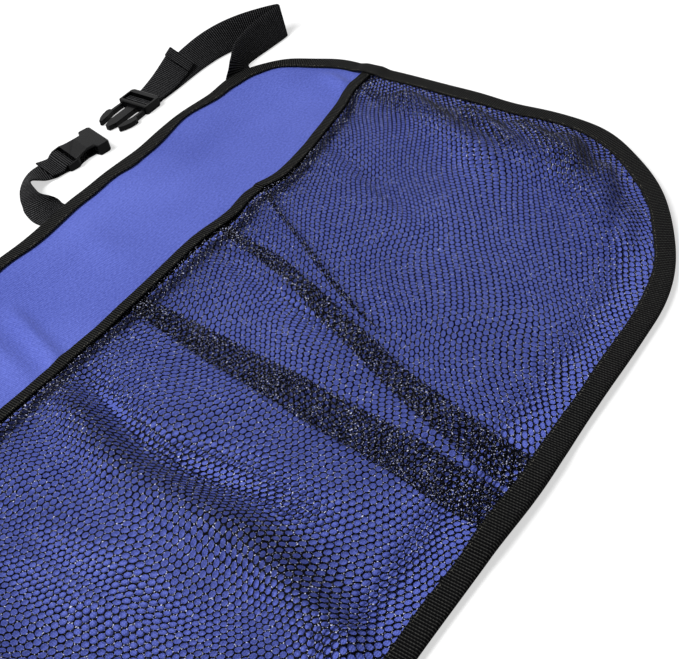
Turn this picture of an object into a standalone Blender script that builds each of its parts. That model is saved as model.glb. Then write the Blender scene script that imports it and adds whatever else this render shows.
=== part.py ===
# Trunk organizer: a fabric panel with a full-width net pocket, bound all round with tape.
# Two pairs of webbing straps on its top edge clip together with side-release buckles.
# +X runs along the width, +Y towards the strapped edge, +Z up from the panel as it lies.
import math

import bmesh
import bpy
from mathutils import Matrix, Vector

# Panel
PANEL_WIDTH = 0.900
PANEL_HEIGHT = 0.400
TOP_CORNER_RADIUS = 0.080
BOTTOM_CORNER_RADIUS = 0.160
BACKING_THICKNESS = 0.0010
RIM_SLOPE = 0.045  # the rim rises over this width onto its binding and straps

# Sewn pieces
CLEARANCE = 0.0003  # between faces that touch
TAPE_THICKNESS = 0.0007
EDGE_TAPE_WIDTH = 0.025  # folded in half over the edge
MOUTH_TAPE_WIDTH = 0.020
SEAM_ALLOWANCE = 0.0095  # net and backing held inside the edge binding

# Net pocket
NET_THICKNESS = 0.0005
MOUTH_DROP = 0.119  # mouth below the top edge
MOUTH_SIDE_RISE = 0.011
MOUTH_SIDE_RUN = 0.080
POCKET_LIFT = 0.0070  # of the net above the backing
MOUTH_LIFT = 0.0095
MOUTH_WAVE = 0.002
MOUTH_WAVE_LENGTH = 0.210
MOUTH_WAVE_CREST = 0.225
LIFT_START = 0.0095  # inward from the binding's inner edge
LIFT_RUN = 0.060
PLEAT_GAP = 0.0003
PLEATS = (
    {"foot": 0.138, "foot_width": 0.025, "head": 0.166, "head_width": 0.012},
    {"foot": 0.165, "foot_width": 0.022, "head": 0.252, "head_width": 0.005},
)
NET_GAP_RADIUS = 0.0195
NET_CELL_PITCH = 0.0450
NET_RIB_AT_SEAM = 0.003

# Webbing
WEBBING_WIDTH = 0.025
WEBBING_THICKNESS = 0.0013
STRAP_SEWN_LENGTH = 0.0125
SHORT_STRAP_FROM_END = 0.2425  # of the panel, along X
LONG_STRAP_FROM_END = 0.048
SHORT_STRAP_END = 0.0135  # back past the buckle's bar
LONG_STRAP_TAIL = 0.047
TAIL_FAN = 0.0065
TAIL_RISE = 0.0008
HEM_LENGTH = 0.008

# Side-release buckle, both halves on one set of sizes
BUCKLE_SIDE = 0.00225  # beside the webbing
SOCKET_HEIGHT = 0.0087
SOCKET_BAR_END_HEIGHT = 0.0056
SOCKET_LENGTH = 0.0306  # from the strap slot's middle to the mouth
SOCKET_WAIST = 0.0205
SOCKET_WALL = 0.0017
SOCKET_SIDE_WALL = 0.0020
SLOT_LENGTH = 0.0050
BAR_DEPTH = 0.0030
BAR_HEIGHT = 0.0024
SLOT_SIDE_CLEARANCE = 0.0004
PLUG_HEIGHT = 0.0072
PLUG_FRAME_LENGTH = 0.0160
PRONG_LENGTH = 0.0295
PRONG_THICKNESS = 0.0042
PRONG_LOW = 0.0004
GUIDE_WIDTH = 0.0080
ARM_WIDTH = 0.0022

# Buckle places, from where each strap meets the panel's edge, in 25ths of the webbing's width
SOCKET_PLACE = (51.7, 43.9)
SOCKET_TURN = -13.0
PLUG_PLACE = (-69.3, 43.7)
PLUG_TURN = 180.0

COLOURS = {
    "oxford": (0.120, 0.155, 0.578),
    "tape": (0.010, 0.010, 0.011),
    "net": (0.012, 0.012, 0.020),
    "webbing": (0.012, 0.012, 0.013),
    "acetal": (0.028, 0.028, 0.031),
}

EDGE_LEG = EDGE_TAPE_WIDTH / 2
MOUTH_LEG = MOUTH_TAPE_WIDTH / 2
TAPE_STEP = TAPE_THICKNESS + CLEARANCE
WEBBING_STEP = WEBBING_THICKNESS + CLEARANCE
PLEAT_STEP = NET_THICKNESS + PLEAT_GAP
RIM_LIFT = WEBBING_STEP + TAPE_STEP + CLEARANCE
HALF_WIDTH = PANEL_WIDTH / 2
HALF_HEIGHT = PANEL_HEIGHT / 2
BUCKLE_WIDTH = WEBBING_WIDTH + 2 * BUCKLE_SIDE
UNIT = WEBBING_WIDTH / 25  # of the straps' stations
FLAT = WEBBING_THICKNESS / 2 / UNIT
SHORT_AT = (HALF_WIDTH - SHORT_STRAP_FROM_END) / UNIT
LONG_AT = (HALF_WIDTH - LONG_STRAP_FROM_END) / UNIT
TOP = HALF_HEIGHT / UNIT
NET_EDGE = EDGE_LEG - SEAM_ALLOWANCE  # the net's raw edge, inward from the panel's


def clear_scene():
    for obj in list(bpy.data.objects):
        bpy.data.objects.remove(obj, do_unlink=True)


def new_collection(name):
    collection = bpy.data.collections.new(name)
    bpy.context.scene.collection.children.link(collection)
    return collection


def material(name, roughness, metallic=0.0):
    mat = bpy.data.materials.new(name)
    mat.use_nodes = True
    shader = mat.node_tree.nodes["Principled BSDF"]
    shader.inputs["Base Color"].default_value = (*COLOURS[name], 1.0)
    shader.inputs["Roughness"].default_value = roughness
    shader.inputs["Metallic"].default_value = metallic
    return mat


def smoothstep(value):
    value = min(1.0, max(0.0, value))
    return value * value * (3 - 2 * value)


def window(value, low, high, ramp):
    """1 between low and high, falling straight to 0 over the ramp on either side."""
    return max(0.0, min(1.0, (value - low) / ramp + 1, (high - value) / ramp + 1))


def mix(a, b, share):
    return a + (b - a) * share


def edge_distance(x, y):
    """How far inside the panel's outline a point lies."""
    radius = TOP_CORNER_RADIUS if y > 0 else BOTTOM_CORNER_RADIUS
    across = abs(x) - HALF_WIDTH + radius
    along = abs(y) - HALF_HEIGHT + radius
    outside = math.hypot(max(across, 0.0), max(along, 0.0))
    return radius - outside - min(max(across, along), 0.0)


def backing_low(x, y):
    inward = edge_distance(x, y) - EDGE_LEG
    return RIM_LIFT * (1 - smoothstep(inward / RIM_SLOPE))


def backing_top(x, y):
    return backing_low(x, y) + BACKING_THICKNESS


def mouth_y(x):
    side = smoothstep((abs(x) - HALF_WIDTH + MOUTH_SIDE_RUN + EDGE_LEG) / MOUTH_SIDE_RUN)
    return HALF_HEIGHT - MOUTH_DROP + MOUTH_SIDE_RISE * side


def net_foot_y(x):
    """The net's lower edge, inside the binding."""
    radius = BOTTOM_CORNER_RADIUS - NET_EDGE
    across = max(0.0, abs(x) - HALF_WIDTH + BOTTOM_CORNER_RADIUS)
    return BOTTOM_CORNER_RADIUS - HALF_HEIGHT - math.sqrt(max(0.0, radius**2 - across**2))


def net_level(x, y):
    """Underside of the net's lowest layer."""
    foot = net_foot_y(x)
    mouth = mouth_y(x)
    rise = min(1.0, max(0.0, (y - foot) / (mouth - foot)))
    wave = math.cos(2 * math.pi * (abs(x) - MOUTH_WAVE_CREST) / MOUTH_WAVE_LENGTH)
    lift = mix(POCKET_LIFT, MOUTH_LIFT, rise**1.5) + MOUTH_WAVE * wave * rise**2
    inward = edge_distance(x, y) - EDGE_LEG - LIFT_START
    seat = TAPE_STEP * window(y, mouth - MOUTH_LEG - 0.002, mouth + 0.002, MOUTH_LEG)
    return backing_top(x, y) + CLEARANCE + seat + lift * smoothstep(inward / LIFT_RUN)


def add_mesh(name, mesh, collection, mat):
    obj = bpy.data.objects.new(name, mesh)
    collection.objects.link(obj)
    if mat:
        mesh.materials.clear()
        mesh.materials.append(mat)
    return obj


def strip_mesh(name, rows, closed=False):
    """An open surface through rows of points. Closed joins the last row to the first."""
    bm = bmesh.new()
    grid = [[bm.verts.new(point) for point in row] for row in rows]
    if closed:
        grid.append(grid[0])
    for row, following in zip(grid, grid[1:]):
        for a, b, c, d in zip(row, row[1:], following[1:], following):
            bm.faces.new((a, b, c, d))
    mesh = bpy.data.meshes.new(name)
    bm.to_mesh(mesh)
    bm.free()
    return mesh


def solidify(obj, thickness):
    shell = obj.modifiers.new("thickness", "SOLIDIFY")
    shell.thickness = thickness
    shell.offset = 0.0
    shell.use_even_offset = True
    return shell


def evaluated_mesh(obj):
    graph = bpy.context.evaluated_depsgraph_get()
    mesh = bpy.data.meshes.new_from_object(obj.evaluated_get(graph))
    bm = bmesh.new()
    bm.from_mesh(mesh)
    bmesh.ops.remove_doubles(bm, verts=bm.verts, dist=1e-6)
    bm.to_mesh(mesh)
    bm.free()
    return mesh


def outline_solid(name, outline, low, high, collection, mat=None):
    """A flat closed outline, in X and Y, standing from low to high."""
    curve = bpy.data.curves.new(name, "CURVE")
    curve.dimensions = "2D"
    curve.fill_mode = "BOTH"
    curve.extrude = (high - low) / 2
    spline = curve.splines.new("POLY")
    spline.points.add(len(outline) - 1)
    for point, (x, y) in zip(spline.points, outline):
        point.co = (x, y, 0.0, 1.0)
    spline.use_cyclic_u = True
    drawn = bpy.data.objects.new(name + "_outline", curve)
    bpy.context.scene.collection.objects.link(drawn)
    drawn.location.z = (low + high) / 2
    bpy.context.view_layer.update()
    mesh = evaluated_mesh(drawn)
    mesh.transform(drawn.matrix_world)
    bpy.data.objects.remove(drawn)
    return add_mesh(name, mesh, collection, mat)


def box(name, low, high, collection):
    bm = bmesh.new()
    bmesh.ops.create_cube(bm, size=1.0)
    for vert in bm.verts:
        vert.co = Vector(mix(a, b, c + 0.5) for a, b, c in zip(low, high, vert.co))
    mesh = bpy.data.meshes.new(name)
    bm.to_mesh(mesh)
    bm.free()
    return add_mesh(name, mesh, collection, None)


def boolean(obj, other, operation):
    step = obj.modifiers.new(other.name, "BOOLEAN")
    step.operation = operation
    step.object = other
    step.solver = "EXACT"
    other.hide_render = True
    other.display_type = "WIRE"


def bevel(obj, width, segments=1):
    edge = obj.modifiers.new("edges", "BEVEL")
    edge.width = width
    edge.segments = segments
    edge.limit_method = "ANGLE"
    edge.angle_limit = math.radians(40)
    edge.use_clamp_overlap = True


def outline_ring(inset, side_ys, foot_xs, head_xs):
    """The panel's outline, moved inward, anticlockwise from the foot of its right corner."""
    points = []

    def corner(sign_x, sign_y, radius, first, steps):
        for step in range(steps + 1):
            angle = math.radians(first + 90 * step / steps)
            points.append(
                (
                    sign_x * (HALF_WIDTH - radius) + (radius - inset) * math.cos(angle),
                    sign_y * (HALF_HEIGHT - radius) + (radius - inset) * math.sin(angle),
                )
            )

    right, top = HALF_WIDTH - inset, HALF_HEIGHT - inset
    corner(1, -1, BOTTOM_CORNER_RADIUS, 270, 12)
    points += [(right, y) for y in side_ys]
    corner(1, 1, TOP_CORNER_RADIUS, 0, 8)
    points += [(x, top) for x in reversed(head_xs)]
    corner(-1, 1, TOP_CORNER_RADIUS, 90, 8)
    points += [(-right, y) for y in reversed(side_ys)]
    corner(-1, -1, BOTTOM_CORNER_RADIUS, 180, 12)
    points += [(x, -top) for x in foot_xs]
    return points


def mirrored(values):
    return sorted({-value for value in values} | set(values))


def make_backing(collection, mat):
    sides = [mix(-0.3, 0.9, step / 3) * (HALF_HEIGHT - BOTTOM_CORNER_RADIUS) for step in range(4)]
    heads = mirrored([0.0, 0.5 * (HALF_WIDTH - TOP_CORNER_RADIUS)])
    insets = [NET_EDGE, EDGE_LEG] + [
        EDGE_LEG + RIM_SLOPE * share for share in (0.25, 0.5, 0.75, 1.0)
    ]
    bm = bmesh.new()
    rings = []
    for inset in insets:
        ring = outline_ring(inset, sides, heads, heads)
        rings.append([bm.verts.new((x, y, backing_low(x, y))) for x, y in ring])
    for outer, inner in zip(rings, rings[1:]):
        for index, vert in enumerate(outer):
            before = index - 1
            bm.faces.new((outer[before], vert, inner[index], inner[before]))
    bm.faces.new(rings[-1])
    bmesh.ops.recalc_face_normals(bm, faces=bm.faces)
    mesh = bpy.data.meshes.new("backing_panel")
    bm.to_mesh(mesh)
    bm.free()
    obj = add_mesh("backing_panel", mesh, collection, mat)
    shell = solidify(obj, BACKING_THICKNESS)
    shell.offset = -1.0 if mesh.polygons[-1].normal.z < 0 else 1.0
    return obj


def pleat_reach(key_at, key_width):
    inner, outer = PLEATS
    return (
        inner[key_at] - inner[key_width] / 2 - PLEAT_STEP / 2,
        outer[key_at] + outer[key_width] / 2 + PLEAT_STEP / 2,
    )


def make_edge_binding(collection, mat):
    """Tape folded round the rim. Its upper leg steps over the pleats and the mouth's ends."""
    low, high = pleat_reach("foot", "foot_width")
    low, high, ramp = low - 0.004, high + 0.006, 0.010
    end_high = mouth_y(HALF_WIDTH) + 0.003
    end_low = mouth_y(HALF_WIDTH) - MOUTH_LEG - 0.004
    side_ramp = MOUTH_LEG
    stack = BACKING_THICKNESS + NET_THICKNESS + 3 * CLEARANCE + TAPE_THICKNESS

    def upper(x, y):
        rise = 0.0
        if y < mix(-HALF_HEIGHT, HALF_HEIGHT, 0.1):
            rise = 2 * PLEAT_STEP * window(abs(x), low, high, ramp)
        rise += 2 * TAPE_STEP * window(y, end_low, end_high, side_ramp) * (abs(x) > 0.5 * HALF_WIDTH)
        return stack + rise

    feet = mirrored([0.0, low - ramp, low, high, high + ramp, 0.5 * (low - ramp)])
    heads = mirrored([0.0] + [mix(0, HALF_WIDTH - TOP_CORNER_RADIUS, step / 5) for step in range(1, 5)])
    sides = [0.0, end_low - side_ramp, end_low, end_high, end_high + side_ramp]
    rows = []
    fold = stack / 2
    for inset, share in ((EDGE_LEG, 1), (fold, 1), (0.0, 0.5), (fold, 0), (EDGE_LEG, 0)):
        row = []
        for x, y in outline_ring(inset, sides, feet, heads):
            base = RIM_LIFT - TAPE_STEP + TAPE_THICKNESS / 2
            row.append((x, y, base + share * upper(x, y)))
        rows.append(row + row[:1])
    mesh = strip_mesh("edge_binding", rows)
    bm = bmesh.new()
    bm.from_mesh(mesh)
    bmesh.ops.remove_doubles(bm, verts=bm.verts, dist=1e-6)
    bm.to_mesh(mesh)
    bm.free()
    obj = add_mesh("edge_binding", mesh, collection, mat)
    solidify(obj, TAPE_THICKNESS)
    return obj


def net_columns():
    """Right half of the net: (x at the foot, x at the mouth, layers up) from the middle out."""
    inner, outer = PLEATS
    turn = PLEAT_STEP / 2

    def fold(pleat, side, out, level):
        reach_foot = side * (pleat["foot_width"] / 2 + out * turn)
        reach_head = side * (pleat["head_width"] / 2 + out * turn)
        return (pleat["foot"] + reach_foot, pleat["head"] + reach_head, level)

    first = [
        fold(inner, 1, 0, 0.0),
        fold(inner, 1, 1, 0.5),
        fold(inner, 1, 0, 1.0),
        fold(inner, -1, 0, 1.0),
        fold(inner, -1, 1, 1.5),
        fold(inner, -1, 0, 2.0),
    ]
    second = [
        fold(outer, 1, 0, 2.0),
        fold(outer, 1, 1, 1.5),
        fold(outer, 1, 0, 1.0),
        fold(outer, -1, 0, 1.0),
        fold(outer, -1, 1, 0.5),
        fold(outer, -1, 0, 0.0),
    ]
    straight = HALF_WIDTH - BOTTOM_CORNER_RADIUS

    def between(start, end, count):
        return [
            tuple(mix(a, b, step / (count + 1)) for a, b in zip(start, end))
            for step in range(1, count + 1)
        ]

    columns = [(0.0, 0.0, 0.0)]
    columns += between(columns[0], first[0], 5)
    columns += first + between(first[-1], second[0], 3) + second
    corner = (straight, straight, 0.0)
    columns += between(second[-1], corner, 3)
    for step in range(11):
        x = straight + (BOTTOM_CORNER_RADIUS - NET_EDGE) * math.sin(math.radians(9 * step))
        columns.append((x, x, 0.0))
    return columns


def net_point(column, height):
    foot_x, head_x, level = column
    x = mix(foot_x, head_x, height)
    y = mix(net_foot_y(x), mouth_y(x), height)
    return x, y, net_level(x, y) + NET_THICKNESS / 2 + level * PLEAT_STEP


def pleat_lines(height):
    return [
        (
            mix(pleat["foot"], pleat["head"], height),
            mix(pleat["foot_width"], pleat["head_width"], height) / 2,
        )
        for pleat in PLEATS
    ]


def net_gap_centres():
    """Staggered rows of cell centres that keep clear of seams, pleats and binding."""
    reach = NET_GAP_RADIUS + NET_RIB_AT_SEAM
    row_step = NET_CELL_PITCH * math.sqrt(3) / 2
    centres = []
    lowest = EDGE_LEG - HALF_HEIGHT + reach
    for row in range(int(PANEL_HEIGHT / row_step)):
        y = lowest + row * row_step
        shift = 0.5 * (row % 2)
        for column in range(-12, 13):
            x = (column + shift) * NET_CELL_PITCH
            if edge_distance(x, y) < EDGE_LEG + reach:
                continue
            if y > mouth_y(x) - MOUTH_LEG - reach:
                continue
            height = (y - net_foot_y(x)) / (mouth_y(x) - net_foot_y(x))
            clear = all(abs(abs(x) - at) > half + reach for at, half in pleat_lines(height))
            if clear:
                centres.append((x, y))
    return centres


def make_net(collection, cutters, mat):
    columns = net_columns()
    heights = (0.0, 0.045, 0.11, 0.19, 0.32, 0.46, 0.60, 0.74, 0.86, 0.955, 1.0)
    rows = [[net_point(column, height) for column in columns] for height in heights]
    mesh = strip_mesh("mesh_pocket", rows)
    obj = add_mesh("mesh_pocket", mesh, collection, mat)
    half = obj.modifiers.new("other half", "MIRROR")
    half.merge_threshold = 0.0001
    solidify(obj, NET_THICKNESS)
    bm = bmesh.new()
    for x, y in net_gap_centres():
        bmesh.ops.create_cone(
            bm,
            cap_ends=True,
            segments=6,
            radius1=NET_GAP_RADIUS,
            radius2=NET_GAP_RADIUS,
            depth=0.06,
            matrix=Matrix.Translation((x, y, 0.02)),
        )
    gaps = bpy.data.meshes.new("net_gaps")
    bm.to_mesh(gaps)
    bm.free()
    boolean(obj, add_mesh("net_gaps", gaps, cutters, None), "DIFFERENCE")
    return obj


def make_mouth_binding(collection, mat):
    """Tape folded over the net's free edge, its ends under the edge binding."""
    low, high = pleat_reach("head", "head_width")
    low, high, ramp = low - 0.004, high + 0.006, 0.020
    last = HALF_WIDTH - NET_EDGE - 0.001
    xs = {column[1] for column in net_columns() if column[1] < last}
    xs |= {low - ramp, low, high, high + ramp, last}
    rise = NET_THICKNESS / 2 + CLEARANCE + TAPE_THICKNESS / 2
    rows = []
    for x in mirrored(xs):
        edge = mouth_y(x)
        pleats = 2 * PLEAT_STEP * window(abs(x), low, high, ramp)
        inner = net_level(x, edge - MOUTH_LEG) + NET_THICKNESS / 2
        outer = net_level(x, edge) + NET_THICKNESS / 2
        rows.append(
            [
                (x, edge - MOUTH_LEG, inner + rise + pleats),
                (x, edge + CLEARANCE, outer + rise + pleats),
                (x, edge + CLEARANCE + rise, outer + pleats / 2),
                (x, edge + CLEARANCE, outer - rise),
                (x, edge - MOUTH_LEG, inner - rise),
            ]
        )
    mesh = strip_mesh("pocket_mouth_binding", rows)
    obj = add_mesh("pocket_mouth_binding", mesh, collection, mat)
    solidify(obj, TAPE_THICKNESS)
    return obj


def catmull_rom(a, b, c, d, share):
    square, cube = share * share, share**3
    return 0.5 * (
        2 * b + (c - a) * share + (2 * a - 5 * b + 4 * c - d) * square + (3 * b - 3 * c + d - a) * cube
    )


def smooth_path(stations, steps):
    """A smooth run through (middle of the webbing, direction across it), one edge on the floor."""
    out = []
    last = len(stations) - 1
    for index in range(last):
        four = [stations[min(max(index + shift, 0), last)] for shift in (-1, 0, 1, 2)]
        for step in range(steps):
            middle, across = (catmull_rom(*part, step / steps) for part in zip(*four))
            out.append((middle, across.normalized()))
    out.append(stations[last])
    for (middle, across), normal in zip(out, path_normals(out)):
        reach = abs(across.z) * WEBBING_WIDTH + abs(normal.z) * WEBBING_THICKNESS
        middle.z = reach / 2 + CLEARANCE
    out[0][0].z += CLEARANCE  # the webbing turns up sharply where it leaves the panel
    return out


def from_edges(pairs):
    """Stations from the edge that the webbing stands on and a point that its other edge faces."""
    out = []
    for lower, other in pairs:
        lower = Vector(lower) * UNIT
        across = (Vector(other) * UNIT - lower).normalized()
        out.append((lower + across * WEBBING_WIDTH / 2, across))
    return out


def path_normals(path):
    normals = []
    for index, (_, across) in enumerate(path):
        before = path[max(index - 1, 0)][0]
        after = path[min(index + 1, len(path) - 1)][0]
        normals.append((after - before).cross(across).normalized())
    return normals


def laid_back(path, length, fan, rise):
    """The end of a path doubled back on top of itself, ending a little to the side and higher."""
    normals = path_normals(path)
    out = []
    run = 0.0
    for index in range(len(path) - 1, 0, -1):
        middle, across = path[index]
        share = (run / length) ** 2
        up = normals[index] * (WEBBING_STEP + rise * share)
        out.append((middle + up - across * fan * share, across))
        run += (path[index - 1][0] - middle).length
        if run > length:
            break
    return out


def hem(path):
    """The end of a path turned over on top of itself."""
    middle, across = path[-1]
    along = (middle - path[-2][0]).normalized()
    up = across.cross(along).normalized()
    turn = WEBBING_STEP / 2
    return [
        (middle + along * turn + up * turn, across),
        (middle + up * 2 * turn, across),
        (middle + up * 2 * turn - along * HEM_LENGTH, across),
    ]


def wrap(place, points):
    """Stations across a bar, from (x, z) in the buckle's own frame."""
    across = place.to_3x3() @ Vector((0, 1, 0))
    return [(place @ (Vector((x, 0, z)) * UNIT), across) for x, z in points]


def place_of(strap_at, spot, turn):
    x, y = spot
    move = Matrix.Translation(Vector((strap_at + x, TOP + y, 0)) * UNIT)
    return move @ Matrix.Rotation(math.radians(turn), 4, "Z")


def make_webbing(name, path, collection, mat):
    rows = [
        (middle - across * WEBBING_WIDTH / 2, middle + across * WEBBING_WIDTH / 2)
        for middle, across in path
    ]
    obj = add_mesh(name, strip_mesh(name, rows), collection, mat)
    solidify(obj, WEBBING_THICKNESS)
    return obj


def socket_bar():
    """(near face, far face, underside, top) of the bar that the short strap is sewn round."""
    near = -SLOT_LENGTH / 2
    low = WEBBING_STEP + CLEARANCE
    return near, near - BAR_DEPTH, low, low + BAR_HEIGHT


def plug_bars():
    """The ladder lock's lock bar and rear bar, as socket_bar gives its one."""
    front = -0.0055
    low = WEBBING_STEP + CLEARANCE
    lock = (front, front - BAR_DEPTH, low, low + 0.0020)
    rear_front = lock[1] - 0.0030
    rear_low = 2 * WEBBING_STEP + CLEARANCE
    rear = (rear_front, -PLUG_FRAME_LENGTH + 0.0015, rear_low, PLUG_HEIGHT)
    return lock, rear


def round_bar(bar):
    """Webbing round a bar: in below it, up its near face and back over it."""
    near, far, low, top = (value / UNIT for value in bar)
    off = (CLEARANCE + WEBBING_THICKNESS / 2) / UNIT
    diagonal = off * math.sqrt(0.5)
    return [
        (near, low - off),
        (near + diagonal, low - diagonal),
        (near + off, low),
        (near + off, top),
        (near + diagonal, top + diagonal),
        (near, top + off),
        (far, top + off),
    ]


def short_strap_path():
    """From the panel it banks on its outer edge round a quarter turn to the socket."""
    at, top = SHORT_AT, TOP
    half = WEBBING_WIDTH / 2 / UNIT
    sewn = top - STRAP_SEWN_LENGTH / UNIT
    pairs = [
        ((at - half, sewn, FLAT), (at, sewn, FLAT)),
        ((at - half, top + 1, FLAT), (at, top + 1, FLAT)),
        ((at - 12.6, top + 10.5, FLAT), (at + 12, top + 7.5, 1.3)),
        ((at - 9.6, top + 22, FLAT), (at + 11.3, top + 10.8, 3.6)),
        ((at - 3.5, top + 33, FLAT), (at + 8, top + 13.5, 9.0)),
        ((at + 2, top + 41.5, FLAT), (at + 5.6, top + 19, 11.5)),
        ((at + 9, top + 49.5, FLAT), (at + 7.6, top + 27, 12.4)),
        ((at + 16.8, top + 55.5, FLAT), (at + 10.6, top + 34.5, 12.4)),
        ((at + 23.5, top + 59, FLAT), (at + 14.6, top + 37.5, 10.5)),
        ((at + 29.5, top + 60.8, FLAT), (at + 20, top + 39.2, 6.5)),
        ((at + 36, top + 60.6, FLAT), (at + 26, top + 38.5, 2.6)),
        ((at + 41.5, top + 59, FLAT), (at + 32.5, top + 36, 0.9)),
    ]
    return from_edges(pairs)


def long_strap_path():
    """From the panel it twists up onto its edge, folds back and lies down into the plug."""
    at, top = LONG_AT, TOP
    pairs = [
        ((at + 10.2, top - 19, FLAT), (at - 3, top - 14.4, FLAT)),
        ((at + 14.2, top - 6.4, FLAT), (at - 9.3, top, FLAT)),
        ((at + 15.5, top - 4, FLAT), (at - 9, top - 1.5, 6)),
        ((at + 17.0, top - 1.6, FLAT), (at - 7, top - 2.5, 11.5)),
        ((at + 18.6, top - 0.2, FLAT), (at - 1.3, top - 1.5, 16)),
        ((at + 21.2, top + 0.2, FLAT), (at + 2.7, top + 0.2, 18.5)),
        ((at + 25.0, top, FLAT), (at + 9, top + 3.6, 20.2)),
        ((at + 31.5, top - 0.4, FLAT), (at + 18.5, top + 7, 20.8)),
        ((at + 40, top - 1.2, FLAT), (at + 30.5, top + 9.5, 21.8)),
        ((at + 51.5, top - 2.2, FLAT), (at + 49, top + 10.5, 22.0)),
        ((at + 62, top - 2.8, FLAT), (at + 66.5, top + 8, 22.7)),
        ((at + 66.8, top - 2.4, FLAT), (at + 73.5, top + 7, 22.8)),
        ((at + 68.2, top - 0.4, FLAT), (at + 75.3, top + 9, 22.8)),
        ((at + 66.6, top + 2.2, FLAT), (at + 73.4, top + 10.8, 23.4)),
        ((at + 60, top + 8.6, FLAT), (at + 65.7, top + 16, 24.4)),
        ((at + 49.5, top + 16.3, FLAT), (at + 54, top + 26, 23.4)),
        ((at + 39.5, top + 22, FLAT), (at + 42, top + 34.5, 21.8)),
        ((at + 29, top + 26.2, FLAT), (at + 30, top + 42, 19.4)),
        ((at + 16, top + 29.6, FLAT), (at + 16.5, top + 49, 15.5)),
        ((at, top + 31.2, FLAT), (at, top + 53, 11.5)),
        ((at - 17, top + 31.3, FLAT), (at - 16.8, top + 54.5, 8.0)),
        ((at - 34, top + 30.9, FLAT), (at - 33.8, top + 55, 4.0)),
    ]
    return from_edges(pairs)


def make_short_strap(name, collection, mat):
    place = place_of(SHORT_AT, SOCKET_PLACE, SOCKET_TURN)
    bar = socket_bar()
    near, far = bar[0] / UNIT, bar[1] / UNIT
    lead = [(x, FLAT) for x in (far - 6, far - 3, far - 0.5, (near + far) / 2)]
    run = short_strap_path()
    run = [(middle, -across) for middle, across in run]
    main = run[:1] + smooth_path(run[1:] + wrap(place, lead[:2]), 4)
    main += wrap(place, lead[2:])
    back = round_bar(bar)
    over = back[-1][1]
    rest = FLAT + WEBBING_STEP / UNIT
    end = far - SHORT_STRAP_END / UNIT
    settle = [
        (far - 1.2, mix(rest, over, 0.80)),
        (far - 2.6, mix(rest, over, 0.35)),
        (far - 4.0, rest + 0.25),
        (mix(far, end, 0.65), rest + 0.9),
        (end, rest + 2.0),
    ]
    return make_webbing(name, main + wrap(place, back + settle), collection, mat)


def make_long_strap(name, collection, mat):
    place = place_of(LONG_AT, PLUG_PLACE, PLUG_TURN)
    lock, rear = plug_bars()
    far, rear_near, rear_far = lock[1] / UNIT, rear[0] / UNIT, rear[1] / UNIT
    lead = [(x, FLAT) for x in (rear_far - 7, rear_far - 4, rear_far - 0.5, far - 1.5, far + 1.5)]
    run = long_strap_path()
    run = [(middle, -across) for middle, across in run]
    main = run[:1] + smooth_path(run[1:] + wrap(place, lead[:2]), 3)
    main += wrap(place, lead[2:])
    back = round_bar(lock)
    over = back[-1][1]
    rest = FLAT + WEBBING_STEP / UNIT
    settle = [
        (far - 0.75, mix(rest, over, 0.90)),
        (far - 1.1, mix(rest, over, 0.62)),
        (far - 1.6, mix(rest, over, 0.27)),
        (rear_near - 0.2, rest + 0.1),
        (rear_far - 0.5, rest),
    ]
    tail = laid_back(main[:-3], LONG_STRAP_TAIL, TAIL_FAN, TAIL_RISE)
    path = main + wrap(place, back + settle) + tail
    return make_webbing(name, path + hem(path), collection, mat)


def socket_outline():
    """Hourglass plan of the socket, mouth at +X, open round its waist for the plug's arms."""
    half, waist = BUCKLE_WIDTH / 2, SOCKET_WAIST / 2
    back = socket_bar()[1]
    mouth = SOCKET_LENGTH
    shoulder = 0.67 * mouth
    upper = [
        (mouth, half - 0.0015),
        (mouth - 0.0010, half - 0.0003),
        (shoulder + 0.0005, half),
        (shoulder, half - 0.0012),
    ]
    for step in range(7):
        share = step / 6
        x = mix(shoulder - 0.0012, 0.10 * mouth, share)
        hollow = math.sin(math.pi * (0.30 + 0.70 * share)) ** 0.8
        flare = mix(waist + 0.0014, half - 0.0006, smoothstep(share))
        upper.append((x, flare - (flare - waist) * hollow))
    upper += [(back + 0.0012, half - 0.0006), (back, half - 0.0018)]
    return upper + [(x, -y) for x, y in reversed(upper)]


def cut_now(obj, other, operation):
    boolean(obj, other, operation)
    bpy.context.view_layer.update()
    mesh = evaluated_mesh(obj)
    obj.modifiers.clear()
    obj.data = mesh
    bpy.data.objects.remove(other)


def make_socket(name, collection, cutters, mat):
    obj = outline_solid(name, socket_outline(), 0.0, SOCKET_HEIGHT, collection, mat)
    bevel(obj, 0.0009, 2)
    half = BUCKLE_WIDTH / 2
    inside = box(
        name + "_cavity",
        (0.16 * SOCKET_LENGTH, SOCKET_SIDE_WALL - half, SOCKET_WALL),
        (SOCKET_LENGTH + 0.01, half - SOCKET_SIDE_WALL, SOCKET_HEIGHT - SOCKET_WALL),
        cutters,
    )
    cut_now(obj, inside, "DIFFERENCE")
    near, far, low, top = socket_bar()
    for vert in obj.data.vertices:
        share = smoothstep((vert.co.x - far) / (0.45 * SOCKET_LENGTH - far))
        vert.co.z *= mix(SOCKET_BAR_END_HEIGHT / SOCKET_HEIGHT, 1.0, share)
    slot_half = WEBBING_WIDTH / 2 + SLOT_SIDE_CLEARANCE
    slot = box(
        name + "_slot", (near, -slot_half, -0.01), (-near, slot_half, 0.02), cutters
    )
    under = box(
        name + "_under", (far - 0.01, -slot_half, -0.01), (near + 0.001, slot_half, low), cutters
    )
    over = box(
        name + "_over", (far - 0.01, -slot_half, top), (near + 0.001, slot_half, 0.02), cutters
    )
    for cutter in (slot, under, over):
        boolean(obj, cutter, "DIFFERENCE")
    return obj


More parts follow.
